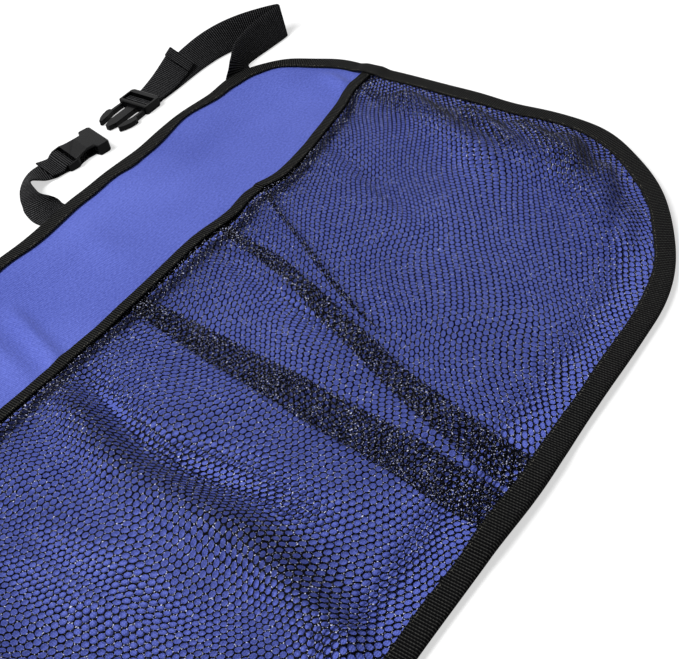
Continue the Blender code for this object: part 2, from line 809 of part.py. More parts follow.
def arm_outline(side):
    """One springy side arm with its barbed head, from the frame to the tip."""
    half = BUCKLE_WIDTH / 2
    root, head, tip = 0.0, 0.42 * PRONG_LENGTH, 0.93 * PRONG_LENGTH
    inner = half - 0.0016 - ARM_WIDTH
    points = [
        (root - 0.002, half - 0.0020),
        (0.35 * head, half - 0.0016),
        (head - 0.0012, half - 0.0014),
        (head - 0.0006, half + 0.0006),
        (head + 0.0016, half + 0.0012),
        (mix(head, tip, 0.45), half + 0.0004),
        (mix(head, tip, 0.75), half - 0.0014),
        (tip, half - 0.0040),
        (tip - 0.0008, half - 0.0060),
        (mix(head, tip, 0.45), inner - 0.0016),
        (head, inner),
        (0.35 * head, inner + 0.0002),
        (root - 0.002, inner - 0.0002),
    ]
    outline = [(x, side * y) for x, y in points]
    return outline if side < 0 else list(reversed(outline))


def make_plug(name, collection, cutters, mat):
    half = BUCKLE_WIDTH / 2
    back = -PLUG_FRAME_LENGTH
    frame = [
        (0.0010, -half + 0.0010),
        (0.0010, half - 0.0010),
        (0.0, half),
        (back + 0.0020, half),
        (back, half - 0.0022),
        (back, -half + 0.0022),
        (back + 0.0020, -half),
        (0.0, -half),
    ]
    obj = outline_solid(name, frame, 0.0, PLUG_HEIGHT, collection, mat)
    bevel(obj, 0.0008, 2)
    bpy.context.view_layer.update()
    obj.data = evaluated_mesh(obj)
    obj.modifiers.clear()
    low, high = PRONG_LOW, PRONG_LOW + PRONG_THICKNESS
    guide = GUIDE_WIDTH / 2
    tongue = [
        (-0.002, -guide - 0.0014),
        (0.0030, -guide),
        (0.80 * PRONG_LENGTH, -guide),
        (PRONG_LENGTH, -0.45 * guide),
        (PRONG_LENGTH, 0.45 * guide),
        (0.80 * PRONG_LENGTH, guide),
        (0.0030, guide),
        (-0.002, guide + 0.0014),
    ]
    outlines = {"guide": tongue, "arm_left": arm_outline(1), "arm_right": arm_outline(-1)}
    for part, outline in outlines.items():
        boolean(obj, outline_solid(name + "_" + part, outline, low, high, cutters), "UNION")
    slot_half = WEBBING_WIDTH / 2 + SLOT_SIDE_CLEARANCE
    lock, rear = plug_bars()
    behind, front = rear[1] - 0.01, -0.0018
    webbing_way = [
        (behind, -0.01),
        (front, -0.01),
        (front, 0.02),
        (lock[0], 0.02),
        (lock[0], lock[2]),
        (lock[1], lock[2]),
        (lock[1], 0.02),
        (rear[0], 0.02),
        (rear[0], rear[2]),
        (behind, rear[2]),
    ]
    way = outline_solid(name + "_webbing_way", webbing_way, -slot_half, slot_half, cutters)
    way.data.transform(Matrix.Rotation(math.radians(90), 4, "X"))
    boolean(obj, way, "DIFFERENCE")
    over_half = slot_half + 0.0003
    over_lock = box(
        name + "_over_lock",
        (lock[1] - 0.0006, -over_half, lock[3]),
        (lock[0] + 0.0006, over_half, 0.02),
        cutters,
    )
    boolean(obj, over_lock, "DIFFERENCE")
    return obj


def settle_in_place(obj, place):
    """Stands a buckle half where its strap holds it. Its cutters go with it."""
    obj.matrix_world = place
    for modifier in obj.modifiers:
        if modifier.type == "BOOLEAN":
            modifier.object.matrix_world = place


def mirrored_copy(obj, name, collection):
    """The same piece at the panel's other end."""
    bpy.context.view_layer.update()
    mesh = evaluated_mesh(obj)
    mesh.transform(obj.matrix_world)
    mesh.transform(Matrix.Scale(-1, 4, (1, 0, 0)))
    mesh.flip_normals()
    return add_mesh(name, mesh, collection, obj.data.materials[0])


def build():
    clear_scene()
    parts = new_collection("trunk_organizer")
    cutters = new_collection("cutters")
    oxford = material("oxford", 0.85)
    tape = material("tape", 0.80)
    net = material("net", 0.65)
    webbing = material("webbing", 0.75)
    acetal = material("acetal", 0.35)

    make_backing(parts, oxford)
    make_edge_binding(parts, tape)
    make_net(parts, cutters, net)
    make_mouth_binding(parts, tape)

    right = [
        make_short_strap("strap_short_right", parts, webbing),
        make_long_strap("strap_long_right", parts, webbing),
        make_socket("buckle_socket_right", parts, cutters, acetal),
        make_plug("buckle_plug_right", parts, cutters, acetal),
    ]
    settle_in_place(right[2], place_of(SHORT_AT, SOCKET_PLACE, SOCKET_TURN))
    settle_in_place(right[3], place_of(LONG_AT, PLUG_PLACE, PLUG_TURN))
    for obj in right:
        mirrored_copy(obj, obj.name.replace("right", "left"), parts)


build()
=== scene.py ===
import math

import bmesh
import bpy
import numpy as np
from mathutils import Matrix, Vector


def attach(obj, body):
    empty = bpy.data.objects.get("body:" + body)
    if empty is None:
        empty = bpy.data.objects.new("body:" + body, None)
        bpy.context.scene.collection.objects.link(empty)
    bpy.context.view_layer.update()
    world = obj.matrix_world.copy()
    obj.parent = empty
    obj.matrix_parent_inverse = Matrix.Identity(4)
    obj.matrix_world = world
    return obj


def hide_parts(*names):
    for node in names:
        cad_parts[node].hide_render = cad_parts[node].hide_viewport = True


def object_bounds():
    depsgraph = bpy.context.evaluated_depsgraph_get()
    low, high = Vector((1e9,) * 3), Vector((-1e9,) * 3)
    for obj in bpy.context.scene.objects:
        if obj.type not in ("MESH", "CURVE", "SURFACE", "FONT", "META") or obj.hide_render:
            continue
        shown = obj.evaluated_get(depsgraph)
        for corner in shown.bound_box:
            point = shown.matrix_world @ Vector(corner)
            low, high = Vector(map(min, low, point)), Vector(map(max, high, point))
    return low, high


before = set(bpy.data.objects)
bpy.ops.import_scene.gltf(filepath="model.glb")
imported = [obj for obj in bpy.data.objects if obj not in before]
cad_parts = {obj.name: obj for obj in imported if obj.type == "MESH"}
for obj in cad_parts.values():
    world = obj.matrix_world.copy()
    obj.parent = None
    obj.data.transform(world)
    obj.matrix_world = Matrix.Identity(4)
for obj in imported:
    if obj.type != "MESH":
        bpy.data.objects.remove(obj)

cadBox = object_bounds()
scene = bpy.context.scene
millimetre = 0.001


view = {
    "place": (-0.1329, -0.3683, 0.4425),
    "aim": (0.2037, -0.0472, 0.0050),
    "roll": -11.5,  # degrees
    "lens": 58.6,
}
studio = {
    "keyPlace": (-0.65, 0.73, 1.88),  # high on the far left
    "keyAim": (0.20, 0.00, 0.0),
    "keySize": 0.90,
    "keyPower": 55.0,
    "skyStrength": 0.20,
    "floorColour": "#B8B8B8",
    "floorGlow": 0.60,
    "floorSize": 6.0,
}


def hexColour(text):
    values = [int(text[start:start + 2], 16) / 255 for start in (1, 3, 5)]
    return tuple(v / 12.92 if v <= 0.04045 else ((v + 0.055) / 1.055) ** 2.4 for v in values) + (1.0,)


# Adds a node with its settings and links. An input given as a node takes that node's first output.
def addNode(tree, kind, settings=None, inputs=None):
    node = tree.nodes.new(kind)
    for name, value in (settings or {}).items():
        setattr(node, name, value)
    for name, value in (inputs or {}).items():
        value = value.outputs[0] if isinstance(value, bpy.types.Node) else value
        if isinstance(value, bpy.types.NodeSocket):
            tree.links.new(value, node.inputs[name])
        else:
            node.inputs[name].default_value = value
    return node


def placeObject(name, data):
    obj = bpy.data.objects.new(name, data)
    scene.collection.objects.link(obj)
    return obj


def aimAt(obj, place, aim, roll=0.0):
    turn = (Vector(aim) - Vector(place)).to_track_quat("-Z", "Y").to_matrix().to_4x4()
    obj.matrix_world = Matrix.Translation(place) @ turn @ Matrix.Rotation(math.radians(roll), 4, "Z")


def makeCamera():
    camera = bpy.data.cameras.new("photoCamera")
    camera.lens = view["lens"]
    obj = placeObject("photoCamera", camera)
    aimAt(obj, view["place"], view["aim"], view["roll"])
    scene.camera = obj


def makeLights():
    lamp = bpy.data.lights.new("softbox", "AREA")
    lamp.shape = "SQUARE"
    lamp.size = studio["keySize"]
    lamp.energy = studio["keyPower"]
    aimAt(placeObject("softbox", lamp), studio["keyPlace"], studio["keyAim"])
    world = bpy.data.worlds.new("studioWhite")
    scene.world = world
    world.use_nodes = True
    tree = world.node_tree
    tree.nodes.clear()
    ray = addNode(tree, "ShaderNodeLightPath")
    seen = addNode(tree, "ShaderNodeMath", {"operation": "MAXIMUM"}, {
        0: ray.outputs["Is Camera Ray"], 1: ray.outputs["Is Glossy Ray"]})
    seen = addNode(tree, "ShaderNodeMath", {"operation": "MAXIMUM"}, {0: seen, 1: ray.outputs["Is Transmission Ray"]})
    strength = addNode(tree, "ShaderNodeMapRange", None, {
        "Value": seen, "To Min": studio["skyStrength"], "To Max": 1.0})
    white = addNode(tree, "ShaderNodeBackground", None, {
        "Color": (1, 1, 1, 1), "Strength": strength.outputs["Result"]})
    addNode(tree, "ShaderNodeOutputWorld", None, {"Surface": white})


def makeFloor():
    half = studio["floorSize"] / 2
    mesh = bpy.data.meshes.new("floor")
    mesh.from_pydata([(-half, -half, 0), (half, -half, 0), (half, half, 0), (-half, half, 0)], [], [(0, 1, 2, 3)])
    floor = placeObject("floor", mesh)
    mat = bpy.data.materials.new("Pale paper floor")
    mat.use_nodes = True
    tree = mat.node_tree
    tree.nodes.clear()
    ray = addNode(tree, "ShaderNodeLightPath")
    paper = addNode(tree, "ShaderNodeBsdfDiffuse", None, {"Color": hexColour(studio["floorColour"])})
    glow = addNode(tree, "ShaderNodeMath", {"operation": "MULTIPLY"}, {
        0: ray.outputs["Is Camera Ray"], 1: studio["floorGlow"]})
    light = addNode(tree, "ShaderNodeEmission", None, {"Strength": glow})
    both = addNode(tree, "ShaderNodeAddShader", None, {0: paper, 1: light})
    addNode(tree, "ShaderNodeOutputMaterial", None, {"Surface": both})
    mesh.materials.append(mat)
    floor.location.z = cadBox[0][2] - 0.0002


makeCamera()
makeLights()
makeFloor()
scene.view_settings.view_transform = "Standard"
print("camera, light and floor ready")


def newMaterial(name):
    mat = bpy.data.materials.new(name)
    mat.use_nodes = True
    mat.node_tree.nodes.clear()
    return mat, mat.node_tree


def finish(tree, looks):
    surface = addNode(tree, "ShaderNodeBsdfPrincipled", None, looks)
    addNode(tree, "ShaderNodeOutputMaterial", None, {"Surface": surface})


def ripple(tree, along, pitch):
    turn = addNode(tree, "ShaderNodeMath", {"operation": "MULTIPLY"}, {0: along, 1: 2 * math.pi / pitch})
    wave = addNode(tree, "ShaderNodeMath", {"operation": "SINE"}, {0: turn})
    return addNode(tree, "ShaderNodeMath", {"operation": "MULTIPLY_ADD"}, {
        0: wave, 1: 0.5, 2: 0.5}).outputs[0]


# Coated polyester oxford, plain woven: an even matt blue with a fine grain of yarns.
def makeOxford():
    mat, tree = newMaterial("Woven oxford cloth")
    flat = addNode(tree, "ShaderNodeUVMap", {"uv_map": "flat"})
    parts = addNode(tree, "ShaderNodeSeparateXYZ", None, {0: flat})
    yarnPitch = 1.2 * millimetre  # real yarns lie 0.5 mm apart, drawn coarser to show
    grain = addNode(tree, "ShaderNodeMath", {"operation": "MULTIPLY"}, {
        0: ripple(tree, parts.outputs[0], yarnPitch), 1: ripple(tree, parts.outputs[1], yarnPitch)})
    cloud = addNode(tree, "ShaderNodeTexNoise", None, {"Vector": flat, "Scale": 9.0, "Detail": 3.0})
    slub = addNode(tree, "ShaderNodeTexNoise", None, {"Vector": flat, "Scale": 600.0, "Detail": 2.0})
    tone = addNode(tree, "ShaderNodeMath", {"operation": "MULTIPLY_ADD"}, {0: grain, 1: 0.55, 2: cloud})
    tone = addNode(tree, "ShaderNodeMath", {"operation": "MULTIPLY_ADD"}, {0: slub, 1: 1.3, 2: tone})
    share = addNode(tree, "ShaderNodeMapRange", None, {"Value": tone, "From Min": 0.80, "From Max": 1.75})
    colour = addNode(tree, "ShaderNodeMix", {"data_type": "RGBA"}, {
        0: share, 6: hexColour("#3F4C9F"), 7: hexColour("#6573CF")})
    bump = addNode(tree, "ShaderNodeBump", None, {"Height": grain, "Distance": 0.20 * millimetre})
    finish(tree, {"Base Color": colour.outputs[2], "Normal": bump, "Roughness": 0.62,
                  "Specular IOR Level": 0.2, "Sheen Weight": 0.05})
    return mat


# Woven polypropylene, black: dull, with ribs across it. Its rib crowns carry a painted highlight in dashes, as a
# lighter base colour.
def makeTape(name, ribPitch, crownHighlightColour, depth):
    mat, tree = newMaterial(name)
    flat = addNode(tree, "ShaderNodeUVMap", {"uv_map": "flat"})
    parts = addNode(tree, "ShaderNodeSeparateXYZ", None, {0: flat})
    ribs = ripple(tree, parts.outputs[0], ribPitch)
    lean = addNode(tree, "ShaderNodeMath", {"operation": "MULTIPLY_ADD"}, {
        0: parts.outputs[0], 1: 0.5, 2: parts.outputs[1]})
    ends = ripple(tree, lean, 1.6 * millimetre)
    weave = addNode(tree, "ShaderNodeMath", {"operation": "MULTIPLY_ADD"}, {0: ends, 1: 0.22, 2: ribs})
    highlightDashes = addNode(tree, "ShaderNodeTexNoise", None, {"Vector": flat, "Scale": 900.0, "Detail": 2.0})
    tone = addNode(tree, "ShaderNodeMath", {"operation": "MULTIPLY_ADD"}, {0: weave, 1: highlightDashes, 2: weave})
    share = addNode(tree, "ShaderNodeMapRange", None, {"Value": tone, "From Min": 1.10, "From Max": 2.00})
    # painted highlight: the rib crowns are lighter in the base colour, broken into dashes
    colour = addNode(tree, "ShaderNodeMix", {"data_type": "RGBA"}, {
        0: share, 6: hexColour("#010102"), 7: hexColour(crownHighlightColour)})
    bump = addNode(tree, "ShaderNodeBump", None, {"Height": weave, "Distance": depth})
    finish(tree, {"Base Color": colour.outputs[2], "Normal": bump, "Roughness": 0.55,
                  "Specular IOR Level": 0.03})
    return mat


# Twisted polyester yarn, black, with painted glints: light specks of noise in the base colour stand for single
# filaments that glint.
def makeYarn(name, darkColour, paintedGlintColour, paintedGlintStart):
    mat, tree = newMaterial(name)
    place = addNode(tree, "ShaderNodeTexCoord")
    paintedGlintNoise = addNode(tree, "ShaderNodeTexNoise", None, {
        "Vector": place.outputs["Object"], "Scale": 1100.0, "Detail": 1.0})
    share = addNode(tree, "ShaderNodeMapRange", None, {
        "Value": paintedGlintNoise, "From Min": paintedGlintStart, "From Max": paintedGlintStart + 0.12})
    # painted glints: light specks mixed into the base colour
    colour = addNode(tree, "ShaderNodeMix", {"data_type": "RGBA"}, {
        0: share, 6: hexColour(darkColour), 7: hexColour(paintedGlintColour)})
    finish(tree, {"Base Color": colour.outputs[2], "Roughness": 0.5, "Specular IOR Level": 0.03})
    return mat


# Injection-moulded acetal, black: smooth and half glossy, with faint flow marks.
def makeAcetal():
    mat, tree = newMaterial("Moulded acetal")
    place = addNode(tree, "ShaderNodeTexCoord")
    flow = addNode(tree, "ShaderNodeTexNoise", None, {
        "Vector": place.outputs["Object"], "Scale": 160.0, "Detail": 3.0})
    colour = addNode(tree, "ShaderNodeMix", {"data_type": "RGBA"}, {
        0: flow, 6: hexColour("#030304"), 7: hexColour("#0A0A0B")})
    rough = addNode(tree, "ShaderNodeMapRange", None, {"Value": flow, "To Min": 0.20, "To Max": 0.32})
    bump = addNode(tree, "ShaderNodeBump", None, {"Height": flow, "Distance": 0.03 * millimetre})
    finish(tree, {"Base Color": colour.outputs[2], "Normal": bump, "Roughness": rough,
                  "Specular IOR Level": 0.13})
    return mat


oxford = makeOxford()
# painted highlight: the lighter colour given to each tape is painted on its rib crowns
bindingTape = makeTape("Woven binding tape", 1.6 * millimetre, "#434341", 0.45 * millimetre)
strapWebbing = makeTape("Woven polypropylene webbing", 1.6 * millimetre, "#58585A", 0.50 * millimetre)
# painted glints: the lighter colour given to each yarn is painted as specks
yarn = makeYarn("Knitted polyester yarn", "#010103", "#CCD0F0", 0.61)
thread = makeYarn("Sewing thread", "#0A0A0A", "#76746A", 0.48)
acetal = makeAcetal()
print("materials ready")


panel = {
    "width": 0.900,
    "height": 0.400,
    "topCorner": 0.080,
    "bottomCorner": 0.160,
    "rimSlope": 0.045,
    "clothEdge": 0.003,  # raw edges, inward from the panel's
}
layer = {
    "clearance": 0.0003,
    "tape": 0.0007,
    "webbing": 0.0013,
    "net": 0.0005,
    "backing": 0.0010,
    "pleatGap": 0.0003,
}
tapeStep = layer["tape"] + layer["clearance"]
webbingStep = layer["webbing"] + layer["clearance"]
pleatStep = layer["net"] + layer["pleatGap"]
rimLift = webbingStep + tapeStep + layer["clearance"]
halfWidth = panel["width"] / 2
halfHeight = panel["height"] / 2
binding = {
    "leg": 0.0125,
    "waver": 0.0007,  # of its inner edge
    "waverRuns": (0.0093, 0.0231),
    "step": 0.003,
    "overPleats": (0.004, 0.006, 0.010),  # how far it rises before and after them, and its ramp
    "overMouth": (0.004, 0.003),
}
seamShare = 0.9  # where a seam lies, from a tape's free edge to the next row of points
mouth = {
    "drop": 0.1168,
    "leg": 0.0070,
    "endGap": 0.001,  # to the net's raw edge
    "seat": 0.002,
    "overPleats": (0.004, 0.006, 0.020),
    "overTuck": 0.006,
    "sideRise": 0.016,
    "sideRun": 0.065,
    "sideSeat": 0.023,
    "step": 0.003,
    # along X: place, how far up the edge waves, half length
    "waves": ((0.116, 0.0018, 0.026), (0.200, -0.0012, 0.040), (0.245, -0.0036, 0.018), (0.258, -0.0026, 0.014),
              (0.300, -0.0062, 0.016), (0.322, -0.0052, 0.018), (0.342, -0.0016, 0.012), (0.372, 0.0013, 0.012),
              (0.396, -0.0013, 0.014)),
}
rim = {
    "reach": 0.060,  # inward, where the waves have faded
    # along the rim from the middle of the bottom edge: place, how far out, half length
    "outline": ((0.040, -0.0019, 0.055), (0.160, 0.0021, 0.038), (0.250, 0.0010, 0.055), (0.375, -0.0025, 0.042),
                (0.484, 0.0038, 0.030), (0.556, -0.0019, 0.024), (0.636, 0.0012, 0.030), (0.697, 0.0010, 0.014),
                (0.731, -0.0018, 0.016), (0.783, 0.0016, 0.018), (0.826, -0.0038, 0.016), (0.846, -0.0012, 0.014),
                (0.907, -0.0014, 0.016), (0.975, 0.0009, 0.014), (1.022, -0.0019, 0.022)),
    "tapeWidth": ((0.766, -0.0023, 0.012), (0.803, 0.0020, 0.011), (0.858, -0.0040, 0.026), (0.924, 0.0018, 0.009),
                  (0.946, -0.0012, 0.014), (1.044, -0.0012, 0.014)),
    "rise": ((0.120, 0.0007, 0.024), (0.235, 0.0006, 0.020), (0.400, 0.0012, 0.040), (0.585, 0.0006, 0.022),
             (0.660, 0.0006, 0.018), (0.757, 0.0006, 0.014), (0.860, 0.0008, 0.026), (0.944, 0.0006, 0.014)),
}
pocket = {
    "lift": 0.0058,
    "mouthLift": 0.0062,
    "wave": 0.0014,
    "waveLength": 0.210,
    "waveCrest": 0.225,
    "liftBend": 1.5,
    "liftStart": 0.0060,
    "liftRun": 0.048,
}
pleats = (  # from the middle out: places and widths at the net's foot and at its mouth
    {"foot": 0.134, "head": 0.163, "bend": 1.0, "sway": 0.0, "footWidth": 0.025, "headWidth": 0.012, "narrow": 3.0},
    {"foot": 0.161, "head": 0.242, "bend": 1.0, "sway": -0.006, "footWidth": 0.023, "headWidth": 0.005,
     "narrow": 1.0},
)
tuck = {  # opens with height, and settles beyond
    "foot": 0.188, "head": 0.292, "bend": 1.9, "sway": 0.0, "headWidth": 0.0040,
    "fades": (0.40, 0.58), "before": 0.002, "flat": 0.004, "settle": 0.062,
}


def smooth(value):
    value = np.clip(value, 0, 1)
    return value * value * (3 - 2 * value)


def mix(a, b, share):
    return a + (b - a) * share


def tuckOpen(height):
    start, full = tuck["fades"]
    return smooth((height - start) / (full - start))


# How much of the tuck's two extra layers lies at a place of the net.
def tuckShare(x, height, early=0.0):
    after = 1 - smooth((x - tuck["head"] - tuck["flat"]) / tuck["settle"])
    return tuckOpen(height) * after * (x > tuck["head"] - tuck["before"] - early)


def window(value, low, high, ramp):
    return np.clip(np.minimum((value - low) / ramp + 1, (high - value) / ramp + 1), 0, 1)


def edgeDistance(x, y):
    radius = np.where(y > 0, panel["topCorner"], panel["bottomCorner"])
    across = np.abs(x) - halfWidth + radius
    along = np.abs(y) - halfHeight + radius
    outside = np.hypot(np.maximum(across, 0), np.maximum(along, 0))
    return radius - outside - np.minimum(np.maximum(across, along), 0)


def bumps(place, waves):
    return sum(height * np.exp(-((place - middle) / reach) ** 2) for middle, height, reach in waves)


# Run along the rim from the middle of the bottom edge to the middle of the top edge, the same
# on both halves, and the outward direction there: its angle from the long edge's, and that edge.
def alongRim(x, y):
    low = y < 0
    radius = np.where(low, panel["bottomCorner"], panel["topCorner"])
    side = np.where(low, -1.0, 1.0)
    offX = np.maximum(0, np.abs(x) - halfWidth + radius)
    offY = np.maximum(0, side * y - halfHeight + radius)
    bend = np.arctan2(offX, offY)
    run = np.minimum(np.abs(x), halfWidth - radius) + radius * bend
    run = run + np.where(offX > 0, np.maximum(0, halfHeight - radius - side * y), 0)
    corners = panel["bottomCorner"] + panel["topCorner"]
    halfLoop = 2 * halfWidth + 2 * halfHeight - (2 - math.pi / 2) * corners
    return np.where(low, run, halfLoop - run), bend, side


# Every cloth layer follows the same waves of the rim, so that they keep clear of each other.
def wavy(points):
    x, y, z = points[..., 0], points[..., 1], points[..., 2]
    run, bend, side = alongRim(x, y)
    near = 1 - smooth(edgeDistance(x, y) / rim["reach"])
    out = bumps(run, rim["outline"]) * near
    rise = bumps(run, rim["rise"]) * near
    return np.stack([x + np.sign(x) * np.sin(bend) * out, y + side * np.cos(bend) * out, z + rise], -1)


# Soft ridges, or valleys where the rise is below zero, on both halves of the panel:
# start, end, rise, half width, and how far the two ends fade.
def ridges(x, y, lines):
    total = 0 * x
    for (ax, ay), (bx, by), rise, width, fadeIn, fadeOut in lines:
        length = math.hypot(bx - ax, by - ay)
        along = ((np.abs(x) - ax) * (bx - ax) + (y - ay) * (by - ay)) / length
        off = ((np.abs(x) - ax) * (by - ay) - (y - ay) * (bx - ax)) / length
        ends = smooth((along + fadeIn) / (2 * fadeIn)) * smooth((length + fadeOut - along) / (2 * fadeOut))
        total = total + rise * np.exp(-(off / width) ** 2) * ends
    return total


backing = {
    "columns": 300,
    "cornerRows": 36,
    "straightRows": 52,
    "sway": 0.0010,
    "swayRuns": (0.043, 0.070),
    "swayStart": 0.030,  # from the binding, inward
    "foldStart": 0.018,
}
backingFolds = (
    ((0.122, 0.150), (0.104, 0.088), 0.0040, 0.0050, 0.02, 0.010),  # the crease above the mouth
    ((0.099, 0.160), (0.086, 0.096), 0.0034, 0.0075, 0.02, 0.020),
    ((0.205, 0.170), (0.192, 0.110), 0.0014, 0.0120, 0.02, 0.030),
    ((0.431, 0.131), (0.420, 0.102), 0.0040, 0.0050, 0.01, 0.006),  # by the mouth's end
    ((0.080, 0.062), (0.058, -0.010), 0.0075, 0.0110, 0.02, 0.015),  # the long fold under the net
    ((0.058, -0.010), (0.056, -0.100), 0.0095, 0.0130, 0.02, 0.020),
    ((0.056, -0.100), (0.036, -0.185), 0.0095, 0.0120, 0.02, 0.010),
    ((0.424, 0.056), (0.372, -0.060), 0.0100, 0.0105, 0.01, 0.020),  # puckers along the end seam
    ((0.428, 0.004), (0.382, -0.078), 0.0095, 0.0090, 0.01, 0.015),
    ((0.428, -0.040), (0.388, -0.096), 0.0095, 0.0085, 0.01, 0.015),
    ((0.426, -0.076), (0.366, -0.118), 0.0100, 0.0095, 0.01, 0.015),
    ((0.408, -0.116), (0.344, -0.140), 0.0090, 0.0095, 0.01, 0.015),
    ((0.378, -0.152), (0.332, -0.162), 0.0050, 0.0085, 0.01, 0.015),
)


def backingTop(x, y):
    inward = edgeDistance(x, y) - binding["leg"]
    edge = rimLift * (1 - smooth(inward / panel["rimSlope"]))
    across, along = backing["swayRuns"]
    sway = backing["sway"] * (1 + np.sin(np.abs(x) / across + y / along)) * smooth(inward / backing["swayStart"])
    return edge + sway + ridges(x, y, backingFolds) * smooth(inward / backing["foldStart"]) + layer["backing"]


def mouthY(x):
    side = smooth((np.abs(x) - halfWidth + mouth["sideRun"] + mouth["sideSeat"]) / mouth["sideRun"])
    return halfHeight - mouth["drop"] + mouth["sideRise"] * side + bumps(np.abs(x), mouth["waves"])


def netFootY(x):
    radius = panel["bottomCorner"] - panel["clothEdge"]
    across = np.maximum(0, np.abs(x) - halfWidth + panel["bottomCorner"])
    return panel["bottomCorner"] - halfHeight - np.sqrt(np.maximum(0, radius**2 - across**2))


# Underside of the net's lowest layer.
def netLevel(x, y):
    foot = netFootY(x)
    top = mouthY(x)
    rise = np.clip((y - foot) / (top - foot), 0, 1)
    wave = np.cos(2 * math.pi * (np.abs(x) - pocket["waveCrest"]) / pocket["waveLength"])
    lift = mix(pocket["lift"], pocket["mouthLift"], rise ** pocket["liftBend"]) + pocket["wave"] * wave * rise**2
    inward = edgeDistance(x, y) - binding["leg"] - pocket["liftStart"]
    seat = tapeStep * window(y, top - mouth["leg"] - mouth["seat"], top + mouth["seat"], mouth["leg"])
    return backingTop(x, y) + layer["clearance"] + seat + lift * smooth(inward / pocket["liftRun"])


# Quads over rows and columns of points, with the cloth's flat size as its UV map.
def sheetMesh(name, points, flat, looped=False):
    rows, columns = points.shape[:2]
    index = np.arange(rows * columns).reshape(rows, columns)
    if looped:
        index = np.concatenate([index, index[:1]])
    quads = np.stack([index[:-1, :-1], index[:-1, 1:], index[1:, 1:], index[1:, :-1]], -1).reshape(-1, 4)
    mesh = bpy.data.meshes.new(name)
    mesh.from_pydata(points.reshape(-1, 3).tolist(), [], quads.tolist())
    corners = np.stack([flat[:-1, :-1], flat[:-1, 1:], flat[1:, 1:], flat[1:, :-1]], -2)
    uv = mesh.uv_layers.new(name="flat")
    uv.data.foreach_set("uv", corners.reshape(-1).astype(np.float32))
    mesh.polygons.foreach_set("use_smooth", np.ones(len(mesh.polygons), bool))
    mesh.update()
    return mesh


def thicken(obj, thickness, offset):
    shell = obj.modifiers.new("thickness", "SOLIDIFY")
    shell.thickness = thickness
    shell.offset = offset
    shell.use_even_offset = True


def dress(obj, mat, slot, *nodes):
    obj.data.materials.clear()
    obj.data.materials.append(mat)
    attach(obj, "root")
    if nodes:
        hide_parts(*nodes)


def backingRows():
    edge = panel["clothEdge"]
    turn = np.linspace(0, math.pi / 2, backing["cornerRows"])
    low = panel["bottomCorner"] - edge
    high = panel["topCorner"] - edge
    lowRows = -halfHeight + panel["bottomCorner"] - low * np.cos(turn)
    highRows = halfHeight - panel["topCorner"] + high * np.sin(turn)
    straight = np.linspace(lowRows[-1], highRows[0], backing["straightRows"])
    return np.concatenate([lowRows, straight[1:-1], highRows])


def halfWidthAt(y):
    radius = np.where(y > 0, panel["topCorner"], panel["bottomCorner"])
    along = np.maximum(0, np.abs(y) - halfHeight + radius)
    inner = radius - panel["clothEdge"]
    return halfWidth - radius + np.sqrt(np.maximum(0, inner**2 - along**2))


def makeBacking():
    ys = backingRows()[:, None]
    shares = np.linspace(-1, 1, backing["columns"])[None]
    x = shares * halfWidthAt(ys)
    y = ys + 0 * x
    z = backingTop(x, y)
    flat = np.stack([x, y], -1)
    obj = placeObject("backingCloth", sheetMesh("backingCloth", wavy(np.stack([x, y, z], -1)), flat))
    thicken(obj, layer["backing"], -1.0)
    dress(obj, oxford, "oxford", "backing_panel")
    return obj


backingCloth = makeBacking()
print("backing ready")


# Points and outward directions round the panel, anticlockwise, with the run to each.
def rimPath(step):
    xs, ys, outX, outY = [], [], [], []

    def arc(centreX, centreY, radius, first):
        count = int(math.pi / 2 * radius / step)
        turn = np.radians(first + 90 * (np.arange(count) + 0.5) / count)
        xs.extend(centreX + radius * np.cos(turn))
        ys.extend(centreY + radius * np.sin(turn))
        outX.extend(np.cos(turn))
        outY.extend(np.sin(turn))

    def line(startX, startY, endX, endY, directionX, directionY):
        length = math.hypot(endX - startX, endY - startY)
        share = (np.arange(int(length / step)) + 0.5) / int(length / step)
        xs.extend(mix(startX, endX, share))
        ys.extend(mix(startY, endY, share))
        outX.extend(directionX + 0 * share)
        outY.extend(directionY + 0 * share)

    low, high = panel["bottomCorner"], panel["topCorner"]
    line(0, -halfHeight, halfWidth - low, -halfHeight, 0, -1)
    arc(halfWidth - low, low - halfHeight, low, 270)
    line(halfWidth, low - halfHeight, halfWidth, halfHeight - high, 1, 0)
    arc(halfWidth - high, halfHeight - high, high, 0)
    line(halfWidth - high, halfHeight, high - halfWidth, halfHeight, 0, 1)
    arc(high - halfWidth, halfHeight - high, high, 90)
    line(-halfWidth, halfHeight - high, -halfWidth, low - halfHeight, -1, 0)
    arc(low - halfWidth, low - halfHeight, low, 180)
    line(low - halfWidth, -halfHeight, 0, -halfHeight, 0, -1)
    x, y = np.array(xs), np.array(ys)
    run = np.concatenate([[0], np.cumsum(np.hypot(np.diff(x), np.diff(y)))])
    return x, y, np.array(outX), np.array(outY), run


def pleatReach(place, width):
    inner, outer = pleats
    return inner[place] - inner[width] / 2, outer[place] + outer[width] / 2


# Height between the tape's two legs, where it passes over pleats and the mouth's ends.
def bindingRise(x, y):
    low, high = pleatReach("foot", "footWidth")
    stack = layer["backing"] + layer["net"] + 3 * layer["clearance"] + layer["tape"]
    before, after, ramp = binding["overPleats"]
    pleated = 2 * pleatStep * window(np.abs(x), low - before, high + after, ramp) * (y < -0.5 * halfHeight)
    top = mouthY(halfWidth)
    below, above = binding["overMouth"]
    ends = 2 * tapeStep * window(y, top - mouth["leg"] - below, top + above, mouth["leg"])
    return stack + pleated + ends * (np.abs(x) > 0.5 * halfWidth)


# Across a folded tape: shares of its upper leg from the free edge, turns of the fold in degrees
# without a share, and shares of the lower leg.
def tapeSection(shares, turns):
    lower = [(share, 0.0) for share in (0.0, 0.5, 1.0)]
    return [(share, 1.0) for share in shares] + [(None, turn) for turn in turns] + lower


